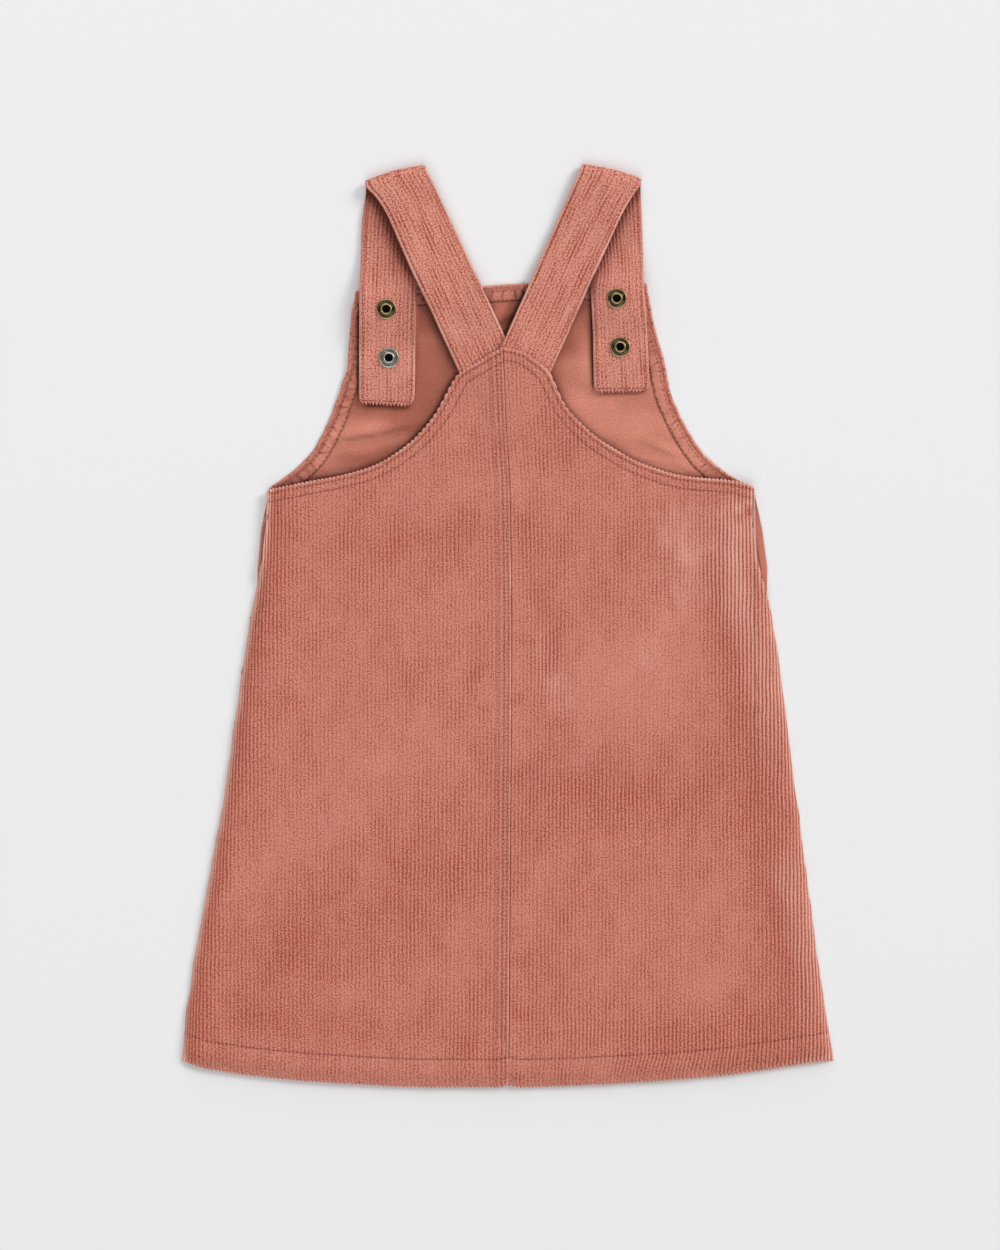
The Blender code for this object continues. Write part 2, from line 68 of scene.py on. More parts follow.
def smoothCurve(points):
    # cubic through (input, value) points that never overshoots them
    ts, vs = np.array(sorted(points), float).T
    slopes = np.diff(vs) / np.diff(ts)
    inner = np.zeros(len(ts))
    inner[0], inner[-1] = slopes[0], slopes[-1]
    product = slopes[:-1] * slopes[1:]
    total = np.where(product > 0, slopes[:-1] + slopes[1:], 1)
    inner[1:-1] = np.where(product > 0, 2 * product / total, 0)

    def value(t):
        t = np.asarray(t, float)
        i = np.clip(np.searchsorted(ts, t) - 1, 0, len(ts) - 2)
        width = ts[i + 1] - ts[i]
        s = np.clip((t - ts[i]) / width, 0, 1)
        s2, s3 = s * s, s * s * s
        inside = ((2 * s3 - 3 * s2 + 1) * vs[i] + (s3 - 2 * s2 + s) * width * inner[i]
                  + (3 * s2 - 2 * s3) * vs[i + 1] + (s3 - s2) * width * inner[i + 1])
        below = np.minimum(t - ts[0], 0) * inner[0]
        above = np.maximum(t - ts[-1], 0) * inner[-1]
        return inside + below + above

    return value


def across(points):
    return smoothCurve([(y, x) for x, y in points])


def waves(u, v, seed, reach):
    # smooth unrepeating noise, about -1 to 1, with bumps about reach long
    count = 7
    source = np.random.default_rng(seed)
    total = np.zeros(np.broadcast(u, v).shape)
    for _ in range(count):
        turn = source.uniform(0, 2 * pi)
        pace = 2 * pi / (reach * source.uniform(0.8, 2.2))
        total = total + np.sin((u * math.cos(turn) + v * math.sin(turn)) * pace
                               + source.uniform(0, 2 * pi))
    return total / math.sqrt(count) / 1.3


def edgeDistance(x, y, line):
    # distance from points to a fine polyline, worked out in slices to save memory
    flat = np.stack([np.ravel(x), np.ravel(y)], -1)
    best = np.empty(len(flat))
    for start in range(0, len(flat), 4000):
        part = flat[start:start + 4000, None, :] - line[None, :, :]
        best[start:start + 4000] = np.sqrt((part ** 2).sum(-1)).min(1)
    return best.reshape(np.shape(x))


def gridNormals(points):
    along = np.gradient(points, axis=0)
    over = np.gradient(points, axis=1)
    normal = np.cross(over, along)
    length = np.linalg.norm(normal, axis=-1, keepdims=True)
    return normal / np.maximum(length, 1e-9)


def curl(gap, radius):
    # how far a rounded edge has dropped at each distance in from it
    return radius - np.sqrt(np.clip(radius ** 2 - np.clip(radius - gap, 0, None) ** 2, 0, None))


def besideLine(x, y, x1, y1, x2, y2):
    # distance along a line from its first end, distance to its left, and its length
    length = math.hypot(x2 - x1, y2 - y1)
    alongX, alongY = (x2 - x1) / length, (y2 - y1) / length
    along = (x - x1) * alongX + (y - y1) * alongY
    aside = (y - y1) * alongX - (x - x1) * alongY
    return along, aside, length


def runAlong(path):
    # distance along a path to each of its places
    return np.concatenate([[0], np.cumsum(np.linalg.norm(np.diff(path, axis=0), axis=1))])


# the cut, as the frame's solids have it
cut = {
    "leftSide": [(-205.1, -273.4), (-201.0, -235.6), (-178.9, -109.6), (-161.9, 3.8),
                 (-154.1, 45.2), (-150.8, 85.3)],
    "rightSide": [(204.6, -272.7), (198.5, -235.6), (181.4, -109.6), (166.1, 3.8),
                  (160.4, 28.5), (156.2, 46.0), (153.6, 62.0), (153.6, 75.0), (154.9, 87.9)],
    "seam": [(0.3, -289.5), (1.5, -121.6), (2.2, -8.8), (1.3, 79.4), (-1.5, 132.3),
             (-3.2, 174.7)],
    "hem": [(-205.1, -273.4), (-187.7, -278.5), (-124.7, -286.0), (-46.0, -289.8),
            (0.3, -289.9), (64.3, -287.9), (127.3, -283.5), (190.3, -274.7), (204.6, -272.7)],
    "leftTop": [(-150.8, 85.3), (-129.5, 89.6), (-99.5, 95.6), (-83.5, 100.9), (-64.2, 112.8),
                (-46.2, 132.0), (-34.1, 153.9), (-31.6, 157.6), (-16.6, 166.9), (-3.2, 174.7)],
    "rightTop": [(-3.2, 174.7), (8.8, 172.0), (17.2, 166.6), (25.0, 160.0), (27.2, 156.4),
                 (35.6, 138.4), (52.3, 121.0), (65.1, 112.0), (84.4, 101.7), (111.3, 93.8),
                 (139.4, 91.0), (154.9, 87.9)],
    "leftBib": [(-158.6, 20.0), (-157.6, 31.0), (-156.6, 39.5), (-155.6, 54.6),
                (-154.6, 64.1), (-153.2, 78.5), (-148.6, 87.2), (-142.3, 91.6), (-133.6, 98.0),
                (-121.8, 110.6), (-109.9, 134.3), (-103.7, 152.3), (-100.7, 161.2),
                (-97.7, 196.8), (-95.1, 210.1)],
    "rightBib": [(164.6, 14.0), (163.9, 30.1), (162.8, 40.9), (161.3, 53.9), (159.5, 64.1),
                 (157.3, 75.7), (154.8, 85.6), (147.0, 90.0), (136.6, 96.0),
                 (121.4, 109.6), (107.4, 133.2), (101.2, 148.4), (98.5, 163.2),
                 (90.9, 191.3), (86.6, 215.2)],
    "bibTop": [(-95.1, 210.1), (-16.4, 213.3), (10.1, 214.8), (86.6, 215.1)],
    "slitFoot": {"left": 29.0, "right": 16.5},
}

hemCurve = smoothCurve(cut["hem"])


def hemLine(x):
    # the hem, drawn up a little where the seam ends
    return hemCurve(x) + 1.2 * bell(x, 0.3, 4.5)


seamLine = across(cut["seam"])
bibTopLine = smoothCurve(cut["bibTop"])
straightSide = {"left": across(cut["leftSide"]), "right": across(cut["rightSide"])}
sideLine = {
    "left": lambda y: straightSide["left"](y) + 0.28 * waves(y, 0, 5, 15),
    "right": lambda y: straightSide["right"](y) + 0.28 * waves(y, 0, 6, 15),
}
topLine = {"left": smoothCurve(cut["leftTop"]), "right": smoothCurve(cut["rightTop"])}
straightBib = {"left": across(cut["leftBib"]), "right": across(cut["rightBib"])}
bibLine = {
    "left": lambda y: straightBib["left"](y) + 0.22 * waves(y, 0, 7, 6),
    "right": lambda y: straightBib["right"](y) + 0.22 * waves(y, 0, 8, 6),
}
inwardOf = {"left": 1, "right": -1}

rib = {
    "pitch": 2.46,                                   # about ten ribs to the inch
    "phases": (0.0, 0.13, 0.35, 0.65, 0.87),         # where each rib is measured
    "height": 0.34,
    "bead": 1.10,                                    # how far a rib's cut end stands out
}


def ribShape(phase):
    # 0 in the groove, 1 on the rounded crest
    return 1 - np.abs(2 * np.mod(phase, 1) - 1) ** 2.6


def ribTooth(phase):
    return np.clip(1.35 - 1.5 * np.abs(2 * np.mod(phase, 1) - 1), 0, 1)


# colours of the cloth, the thread and the metal
finish = {
    "crest": (0.660, 0.255, 0.190),
    # the grooves' darker tone is partly the pile's own deeper colour and partly painted shade in the
    # grooves
    "groove": (0.345, 0.062, 0.030),
    # painted shade: the dark colour of the stitch dimples and holes, the seam's crevice and a
    # crossing strap leg's shadow
    "paintedShade": (0.110, 0.018, 0.011),
    # painted shadow: the near-black of the smooth side's gaps, creases and stitching, and under the
    # back's edges
    "gapShadow": (0.028, 0.006, 0.004),
    # pale colour of brushed nap, also mixed in as painted highlight on edges, the seam's ridge and
    # crisp crests
    "nap_and_painted_light": (0.900, 0.560, 0.470),
    "smooth": (0.485, 0.152, 0.101),
    "smoothDark": (0.380, 0.114, 0.075),
    # painted light: the lighter tone of the smooth side
    "smoothLit": (0.765, 0.290, 0.206),
    "strapCrest": (0.735, 0.306, 0.234),
    "thread": (0.215, 0.044, 0.028),
    "brass": (0.500, 0.365, 0.165),
    "silver": (0.600, 0.570, 0.500),
    "patina": (0.030, 0.024, 0.017),
    "greyPatina": (0.150, 0.140, 0.115),
    # painted shade: the near-black of the snap's hole
    "hole": (0.006, 0.005, 0.004),
}


def newMaterial(name, roughness, metallic=0.0):
    made = bpy.data.materials.new(name)
    made.use_nodes = True
    shader = made.node_tree.nodes["Principled BSDF"]
    shader.inputs["Roughness"].default_value = roughness
    shader.inputs["Metallic"].default_value = metallic
    return made, made.node_tree, shader


def colour(rgb):
    return (*rgb, 1.0)


class Wiring:
    # adds and joins nodes in one tree
    def __init__(self, tree):
        self.tree = tree

    def add(self, kind, **settings):
        node = self.tree.nodes.new(kind)
        for name, value in settings.items():
            setattr(node, name, value)
        return node

    def join(self, source, target):
        self.tree.links.new(source, target)

    def math(self, operation, first, second=None, third=None):
        node = self.add("ShaderNodeMath", operation=operation)
        for socket, value in zip(node.inputs, (first, second, third)):
            if value is None:
                continue
            if isinstance(value, (int, float)):
                socket.default_value = value
            else:
                self.join(value, socket)
        return node.outputs[0]

    def mix(self, share, first, second, blend="MIX"):
        node = self.add("ShaderNodeMix", data_type="RGBA", blend_type=blend)
        for socket, value in ((node.inputs[0], share), (node.inputs[6], first),
                              (node.inputs[7], second)):
            if isinstance(value, (int, float)):
                socket.default_value = value
            elif isinstance(value, tuple):
                socket.default_value = colour(value)
            else:
                self.join(value, socket)
        return node.outputs[2]

    def noise(self, vector, scale, detail=2.0, roughness=0.5):
        node = self.add("ShaderNodeTexNoise")
        node.inputs["Scale"].default_value = scale
        node.inputs["Detail"].default_value = detail
        node.inputs["Roughness"].default_value = roughness
        self.join(vector, node.inputs["Vector"])
        return node.outputs["Fac"]


def newGroup(name, inputs, outputs):
    group = bpy.data.node_groups.new(name, "ShaderNodeTree")
    for label, kind, value in inputs:
        socket = group.interface.new_socket(label, in_out="INPUT", socket_type=kind)
        if value is not None:
            socket.default_value = value
    for label, kind in outputs:
        group.interface.new_socket(label, in_out="OUTPUT", socket_type=kind)
    entry = group.nodes.new("NodeGroupInput")
    leave = group.nodes.new("NodeGroupOutput")
    return group, Wiring(group), entry.outputs, leave.inputs


pile = {
    "fibreScale": 1300.0,        # noise scales: a higher one is finer
    "tuftScale": 380.0,
    "patchScale": 75.0,
    "streakScale": 620.0,
    "grooveWidth": 1.6,          # a higher power makes narrower grooves
    "speckle": 4.6,
    "dash": 2.5,                 # one dash of a stitched row, with its gap
}

twill = {
    "slant": 0.62,
    "pace": 0.75,
    "weft": 0.5,
    "cloudScale": 70.0,
    "threadScale": 900.0,
}


def makePileGroup():
    # corduroy pile: grooves that show where the nap lies flat, and short bright fibres; the grooves'
    # dark tone is partly painted shade, and the marks mix in painted highlights and painted shade
    group, w, given, out = newGroup(
        "cordPile",
        [("Cloth", "NodeSocketVector", None), ("Nap_and_painted_light", "NodeSocketFloat", 0.0),
         ("Crisp", "NodeSocketFloat", 0.0), ("Shade", "NodeSocketFloat", 0.0),
         ("Row", "NodeSocketFloat", 0.0), ("Undershadow", "NodeSocketFloat", 0.0),
         ("Grain", "NodeSocketFloat", 1.0), ("Streak", "NodeSocketFloat", 0.5),
         ("Broken", "NodeSocketFloat", 0.35), ("Crest", "NodeSocketColor", colour(finish["crest"])),
         ("Groove", "NodeSocketColor", colour(finish["groove"])),
         ("BrushedAndHighlight", "NodeSocketColor", colour(finish["nap_and_painted_light"])),
         ("ShadeColour", "NodeSocketColor", colour(finish["paintedShade"]))],
        [("Colour", "NodeSocketColor"), ("Roughness", "NodeSocketFloat"),
         ("Height", "NodeSocketFloat")])

    def limit(value, low, high):
        clamp = w.add("ShaderNodeClamp")
        clamp.inputs["Min"].default_value = low
        clamp.inputs["Max"].default_value = high
        w.join(value, clamp.inputs[0])
        return clamp.outputs[0]

    split = w.add("ShaderNodeSeparateXYZ")
    w.join(given["Cloth"], split.inputs[0])
    phase = w.math("FRACT", w.math("DIVIDE", split.outputs[0], rib["pitch"] * mm))
    fromCrest = w.math("ABSOLUTE", w.math("SUBTRACT", w.math("MULTIPLY", phase, 2.0), 1.0))
    groove = w.math("POWER", fromCrest, pile["grooveWidth"])

    def stretched(share):
        stretch = w.add("ShaderNodeMapping")
        stretch.inputs["Scale"].default_value = (1.0, share, 1.0)
        w.join(given["Cloth"], stretch.inputs[0])
        return stretch.outputs[0]

    fibre = w.noise(stretched(0.8), pile["fibreScale"], 1.0, 0.5)
    tuft = w.noise(stretched(0.35), pile["tuftScale"], 2.0, 0.6)
    patch = w.noise(given["Cloth"], pile["patchScale"], 3.0, 0.6)
    streak = w.noise(stretched(0.08), pile["streakScale"], 2.0, 0.6)
    # where the nap is brushed up the grooves close over, and where it lies they show; the nap mark
    # also carries painted light and shade, which work the same way
    napLyingAndLight = w.math("MULTIPLY_ADD", w.math("SUBTRACT", patch, 0.5), 0.2, given["Nap_and_painted_light"])
    patchy = w.math("MULTIPLY_ADD", w.math("SUBTRACT", patch, 0.5), -1.2, given["Crisp"])
    parted = limit(w.math("ADD", w.math("MULTIPLY_ADD", napLyingAndLight, -0.95, 0.60), patchy), 0.1, 1.2)
    uneven = w.math("MULTIPLY_ADD", w.math("SUBTRACT", tuft, 0.5), given["Broken"], 1.0)
    grooveShare = w.math("MULTIPLY", groove, w.math("MULTIPLY", parted, uneven))
    speckle = w.math("MULTIPLY", w.math("SUBTRACT", 0.5, fibre),
                     w.math("MULTIPLY", given["Grain"], pile["speckle"]))
    tone = w.math("MULTIPLY_ADD", napLyingAndLight, -0.16, w.math("ADD", grooveShare, 0.06))
    tone = w.math("MULTIPLY_ADD", w.math("SUBTRACT", 0.5, streak), given["Streak"], tone)
    tone = limit(w.math("ADD", tone, speckle), 0.0, 1.25)
    base = w.mix(tone, given["Crest"], given["Groove"])
    # crisp ribs get a painted highlight on their crests
    ridge = w.math("MULTIPLY", w.math("SUBTRACT", 1.0, groove), limit(given["Crisp"], 0.0, 1.3))
    napAndHighlightShare = w.math("MULTIPLY_ADD", napLyingAndLight, 0.66, w.math("MULTIPLY_ADD", ridge, 0.30, -0.40))
    napAndHighlightShare = limit(napAndHighlightShare, 0.0, 0.8)
    onCrest = w.math("MULTIPLY_ADD", grooveShare, -0.9, 1.0)
    brushedAndHighlight = w.mix(w.math("MULTIPLY", napAndHighlightShare, onCrest), base, given["BrushedAndHighlight"])
    # painted shade where thread pulls the cloth down: dots in the grooves, or dashes along a rib;
    # and the painted shadow of a crossing strap leg
    dots = w.math("MULTIPLY", given["Shade"], w.math("MULTIPLY_ADD", groove, 0.85, 0.22))
    beat = w.math("SINE", w.math("MULTIPLY", split.outputs[1], 2 * pi / (pile["dash"] * mm)))
    dashes = w.math("MULTIPLY", given["Row"], w.math("MULTIPLY_ADD", beat, 0.45, 0.5))
    sunk = w.math("ADD", w.math("ADD", dots, dashes), given["Undershadow"])
    w.join(w.mix(limit(sunk, 0.0, 0.95), brushedAndHighlight, given["ShadeColour"]), out["Colour"])
    w.join(w.math("MULTIPLY_ADD", fibre, -0.12, 0.94), out["Roughness"])
    w.join(w.math("ADD", w.math("MULTIPLY", fibre, 0.8), tuft), out["Height"])
    return group


def makeTwillGroup():
    # smooth wrong side: fine diagonal twill with slight cloudiness; Lit mixes in a lighter tone as
    # painted light, and Shade mixes in a near-black as painted shade
    group, w, given, out = newGroup(
        "smoothTwill",
        [("Cloth", "NodeSocketVector", None), ("Shade", "NodeSocketFloat", 0.0),
         ("Lit", "NodeSocketFloat", 0.0), ("Light", "NodeSocketColor", colour(finish["smooth"])),
         ("Bright", "NodeSocketColor", colour(finish["smoothLit"])),
         ("ShadeColour", "NodeSocketColor", colour(finish["gapShadow"])),
         ("Dark", "NodeSocketColor", colour(finish["smoothDark"]))],
        [("Colour", "NodeSocketColor"), ("Roughness", "NodeSocketFloat"),
         ("Height", "NodeSocketFloat")])
    split = w.add("ShaderNodeSeparateXYZ")
    w.join(given["Cloth"], split.inputs[0])
    slant = w.math("MULTIPLY_ADD", split.outputs[1], twill["slant"], split.outputs[0])
    ridges = w.math("SINE", w.math("MULTIPLY", slant, 2 * pi / (twill["pace"] * mm)))
    weft = w.math("SINE", w.math("MULTIPLY", split.outputs[1], 2 * pi / (twill["weft"] * mm)))
    cloud = w.noise(given["Cloth"], twill["cloudScale"], 4.0, 0.65)
    thread = w.noise(given["Cloth"], twill["threadScale"], 2.0, 0.6)
    share = w.math("MULTIPLY_ADD", ridges, 0.16, w.math("MULTIPLY_ADD", cloud, 0.9, -0.05))
    base = w.mix(share, w.mix(given["Lit"], given["Light"], given["Bright"]), given["Dark"])
    base = w.mix(w.math("MULTIPLY", given["Lit"], 0.5), base, given["Bright"])
    bright = w.math("MULTIPLY_ADD", w.math("SUBTRACT", thread, 0.5), 0.8, 1.0)
    grey = w.add("ShaderNodeCombineXYZ")
    for socket in grey.inputs:
        w.join(bright, socket)
    grained = w.mix(1.0, base, grey.outputs[0], "MULTIPLY")
    w.join(w.mix(given["Shade"], grained, given["ShadeColour"]), out["Colour"])
    w.join(w.math("MULTIPLY_ADD", cloud, 0.1, 0.8), out["Roughness"])
    w.join(w.math("MULTIPLY_ADD", weft, 0.25, w.math("MULTIPLY", ridges, 0.5)), out["Height"])
    return group


pileGroup = makePileGroup()
twillGroup = makeTwillGroup()


def finishCloth(name, group, sheen, tint, bump, marks, own=None):
    # marks are values kept at each place of the cloth's mesh, painted light and shade among them
    made, tree, shader = newMaterial(name, 0.9)
    w = Wiring(tree)
    cloth = w.add("ShaderNodeGroup", node_tree=group)
    place = w.add("ShaderNodeUVMap", uv_map="cloth")
    w.join(place.outputs[0], cloth.inputs["Cloth"])
    for mark in marks:
        kept = w.add("ShaderNodeAttribute", attribute_name=mark)
        w.join(kept.outputs["Fac"], cloth.inputs[mark.capitalize()])
    for label, value in (own or {}).items():
        cloth.inputs[label].default_value = value
    w.join(cloth.outputs["Colour"], shader.inputs["Base Color"])
    w.join(cloth.outputs["Roughness"], shader.inputs["Roughness"])
    raised = w.add("ShaderNodeBump")
    raised.inputs["Strength"].default_value = bump
    raised.inputs["Distance"].default_value = 0.00025
    w.join(cloth.outputs["Height"], raised.inputs["Height"])
    w.join(raised.outputs[0], shader.inputs["Normal"])
    shader.inputs["Sheen Weight"].default_value = sheen
    shader.inputs["Sheen Roughness"].default_value = 0.45
    shader.inputs["Sheen Tint"].default_value = colour(tint)
    shader.inputs["Specular IOR Level"].default_value = 0.18
    return made


pileMarks = ("nap_and_painted_light", "crisp", "shade", "row")
corduroy = finishCloth("corduroy", pileGroup, 0.22, (1.0, 0.70, 0.60), 0.6, pileMarks)
# the straps' corduroy also takes the painted shadow of a crossing leg
strapCorduroy = finishCloth("corduroy_worn", pileGroup, 0.22, (1.0, 0.70, 0.60), 0.7,
                            pileMarks + ("undershadow",),
                            {"Grain": 1.35, "Broken": 0.8, "Streak": 1.2,
                             "Crest": colour(finish["strapCrest"])})
smoothSide = finishCloth("smooth_wrong_side", twillGroup, 0.12, (1.0, 0.75, 0.68), 0.35,
                         ("shade", "lit"))


def makeThread():
    made, tree, shader = newMaterial("sewing_thread", 0.7)
    w = Wiring(tree)
    place = w.add("ShaderNodeTexCoord")
    fuzz = w.noise(place.outputs["Object"], 900.0, 2.0)
    w.join(w.mix(fuzz, finish["thread"], tuple(1.5 * c for c in finish["thread"])),
           shader.inputs["Base Color"])
    shader.inputs["Sheen Weight"].default_value = 0.1
    shader.inputs["Specular IOR Level"].default_value = 0.2
    return made


def makeMetal(name, bright, recess):
    # worn high spots over a dark patina kept in the recesses
    made, tree, shader = newMaterial(name, 0.3, 1.0)
    w = Wiring(tree)
    place = w.add("ShaderNodeTexCoord")
    raisedPart = w.add("ShaderNodeAttribute", attribute_name="raised")
    wear = w.noise(place.outputs["Object"], 600.0, 4.0, 0.65)
    share = w.math("MULTIPLY_ADD", w.math("SUBTRACT", wear, 0.5), 0.7,
                   raisedPart.outputs["Fac"])
    clamped = w.add("ShaderNodeClamp")
    w.join(share, clamped.inputs[0])
    inHole = w.add("ShaderNodeClamp")
    w.join(w.math("MULTIPLY", share, -2.0), inHole.inputs[0])
    worn = w.mix(clamped.outputs[0], recess, bright)
    # the hole is mixed to near-black as painted shade
    w.join(w.mix(inHole.outputs[0], worn, finish["hole"]), shader.inputs["Base Color"])
    w.join(w.math("MULTIPLY_ADD", clamped.outputs[0], -0.22, 0.52), shader.inputs["Roughness"])
    scratch = w.add("ShaderNodeBump")
    scratch.inputs["Strength"].default_value = 0.25
    scratch.inputs["Distance"].default_value = 0.00005
    w.join(wear, scratch.inputs["Height"])
    w.join(scratch.outputs[0], shader.inputs["Normal"])
    return made


threadFinish = makeThread()
brassFinish = makeMetal("antique_brass", finish["brass"], finish["patina"])
silverFinish = makeMetal("rubbed_nickel", finish["silver"], finish["greyPatina"])
print("materials made")


lowestCloth = 0.05               # the lowest that cloth comes over the table


def setAttribute(mesh, name, values):
    attribute = mesh.attributes.new(name, "FLOAT", "POINT")
    attribute.data.foreach_set("value", np.asarray(values, np.float32).ravel())


def setCloth(mesh, uv):
    # the cloth map runs in metres, first across the ribs and then along them
    layer = mesh.uv_layers[0] if mesh.uv_layers else mesh.uv_layers.new()
    layer.name = "cloth"
    corners = np.zeros(len(mesh.loops), np.int32)
    mesh.loops.foreach_get("vertex_index", corners)
    layer.data.foreach_set("uv", (uv[corners % len(uv)] * mm).astype(np.float32).ravel())


def addGrid(name, points):
    # a new mesh with a place for each of the given ones, in rows and columns
    rows, columns = points.shape[:2]
    deselectAll()
    bpy.ops.mesh.primitive_grid_add(x_subdivisions=columns - 1, y_subdivisions=rows - 1, size=1)
    piece = bpy.context.object
    piece.name = name
    piece.data.name = name
    piece.data.vertices.foreach_set("co", (points.reshape(-1, 3) * mm).ravel())
    piece.data.update()
    return piece


def sheetPiece(name, base, proud, wall, uv, marks, outer, inner, wrapped=None, turnedUv=None):
    # base is the outer side before its ribs, and proud is how far each place is moved out;
    # where wrapped, the outer cloth is turned over the edge and shows on the inner side
    count = base.shape[0] * base.shape[1]
    piece = addGrid(name, base)
    piece.data.materials.append(outer)
    piece.data.materials.append(inner)
    thick = piece.modifiers.new("wall", "SOLIDIFY")
    thick.thickness = wall * mm
    thick.offset = -1
    thick.material_offset = 1
    thick.material_offset_rim = 0
    bpy.ops.object.modifier_apply(modifier="wall")
    mesh = piece.data
    places = np.zeros(len(mesh.vertices) * 3)
    mesh.vertices.foreach_get("co", places)
    places = places.reshape(-1, 3)
    places[:count] += (gridNormals(base) * proud[..., None]).reshape(-1, 3) * mm
    places[:, 2] = np.maximum(places[:, 2], lowestCloth * mm)
    mesh.vertices.foreach_set("co", places.ravel())
    mesh.update()
    bpy.ops.object.shade_smooth()
    clothMap = uv.reshape(-1, 2)
    if turnedUv is not None:
        clothMap = np.concatenate([clothMap, turnedUv.reshape(-1, 2)])
    setCloth(mesh, clothMap)
    copies = len(mesh.vertices) // count
    for mark, values in marks.items():
        setAttribute(mesh, mark, np.tile(values.ravel(), copies))
    if wrapped is not None:
        turned = wrapped.ravel()
        for face in mesh.polygons:
            if face.material_index and all(turned[i % count] for i in face.vertices):
                face.material_index = 0
    print(name, "made with", len(mesh.polygons) * 2, "triangles")
    return piece


def declareSheet(piece, node):
    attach(piece, "root")
    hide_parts(node)


# stitches
stitch = {"length": 2.0, "pace": 2.9, "thick": 0.56, "sink": 0.12}


def stitchTemplate():
    # one low capsule, along X
    deselectAll()
    bpy.ops.mesh.primitive_uv_sphere_add(segments=6, ring_count=5, radius=0.5)
    ball = bpy.context.object
    bpy.ops.object.mode_set(mode="EDIT")
    bpy.ops.mesh.select_all(action="SELECT")
    bpy.ops.transform.rotate(value=pi / 2, orient_axis="Y", center_override=(0, 0, 0))
    bpy.ops.transform.resize(value=(stitch["length"], stitch["thick"], stitch["thick"]),
                             center_override=(0, 0, 0))
    bpy.ops.object.mode_set(mode="OBJECT")
    points = np.array([tuple(v.co) for v in ball.data.vertices])
    faces = [tuple(p.vertices) for p in ball.data.polygons]
    shape = ball.data
    bpy.data.objects.remove(ball)
    bpy.data.meshes.remove(shape)
    return points, faces


capsule = stitchTemplate()
stitchCount = 0


def placeStitches(path, normals, start=0.0, sink=0.0):
    # middle, direction and normal of each stitch along a fine path
    run = runAlong(path)
    middles = np.arange(start + stitch["pace"] / 2, run[-1], stitch["pace"])
    reach = stitch["length"] / 2

    def at(values, where):
        return np.stack([np.interp(where, run, values[:, i]) for i in range(3)], -1)

    ways = at(path, middles + reach) - at(path, middles - reach)
    ups = at(normals, middles)
    return at(path, middles) - ups * sink, ways, ups


def stitchPiece(name, rows):
    global stitchCount
    points, faces = capsule
    allPoints, allFaces = [], []
    for middles, ways, ups in rows:
        for middle, way, up in zip(middles, ways, ups):
            along = way / max(np.linalg.norm(way), 1e-9)
            side = np.cross(up, along)
            side = side / max(np.linalg.norm(side), 1e-9)
            top = np.cross(along, side)
            first = len(allPoints) * len(points)
            allPoints.append(middle + points @ np.stack([along, side, top]))
            allFaces += [tuple(first + i for i in face) for face in faces]
    stitchCount += len(allPoints)
    mesh = bpy.data.meshes.new(name)
    mesh.from_pydata((np.concatenate(allPoints) * mm).tolist(), [], allFaces)
    mesh.shade_smooth()
    piece = bpy.data.objects.new(name, mesh)
    bpy.context.scene.collection.objects.link(piece)
    mesh.materials.append(threadFinish)
    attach(piece, "root")
    return piece


# the back panels
back = {
    "loft": 6.0,
    "rollReach": 11.0,           # how far in from a side the cloth starts to roll down
    "rollEase": {"left": 1.25, "right": 1.06},    # cloth eased into the roll crowds its ribs
    "rollFoot": 0.35,
    "slitEdge": 4.7,             # height of the open edge over the front's margin
    "apexLoft": 9.6,
    "ridge": 0.9,                # seam allowances pressed to the left
    "ridgeWidth": 8.5,
    "hemDepth": 17.2,
    "hemRadius": 1.1,
    "hemDroop": 4.1,             # how much lower the cloth lies at the very hem
    "lipRadius": 1.2,
    "seamCurl": 0.9,             # how far in from the seam its edge turns down
    "wall": 0.9,
    "seamRows": (1.7, 4.4),      # topstitching left of the seam
    "edgeRows": (2.3, 7.4),      # topstitching inside the armhole and top edges
    # where the cloth has its rows of places: over the fold of the turned-up hem, above the
    # hem line, across the skirt and inside the armhole and top edges
    "foldTurns": (-90, -52, -22, 6, 34, 62, 90),
    "hemSteps": (2.4, 4.4, 7.4, 10.4, 13.4, 15.7, 16.6, 17.0, 17.25, 17.6, 18.3, 19.6),
    "skirtSteps": 66,
    "edgeSteps": (11.0, 9.4, 8.2, 7.8, 7.4, 7.0, 6.4, 4.9, 3.3, 2.7, 2.3, 1.9, 1.4, 1.0, 0.6,
                  0.25, 0.04),
    "farInside": 50.0,           # stands for any place that no edge is near
}

# soft folds: middle x, y, way it runs in degrees, half length, half width, height
softFolds = [
    (-66, -70, 62, 120, 26, 1.5),
    (-118, -190, 28, 110, 26, -1.9),
    (-44, 52, 8, 60, 22, -1.5),
    (-40, 108, 70, 40, 16, 1.1),
    (62, -44, 40, 70, 28, 1.5),
    (90, -106, 176, 110, 26, -1.9),
    (30, 116, 60, 40, 16, -1.3),
    (112, 38, 80, 60, 24, -0.7),
    (40, 58, 20, 40, 18, 1.3),
    (120, -190, 80, 70, 26, 1.3),
    (-150, -20, 78, 60, 12, 0.7),
]

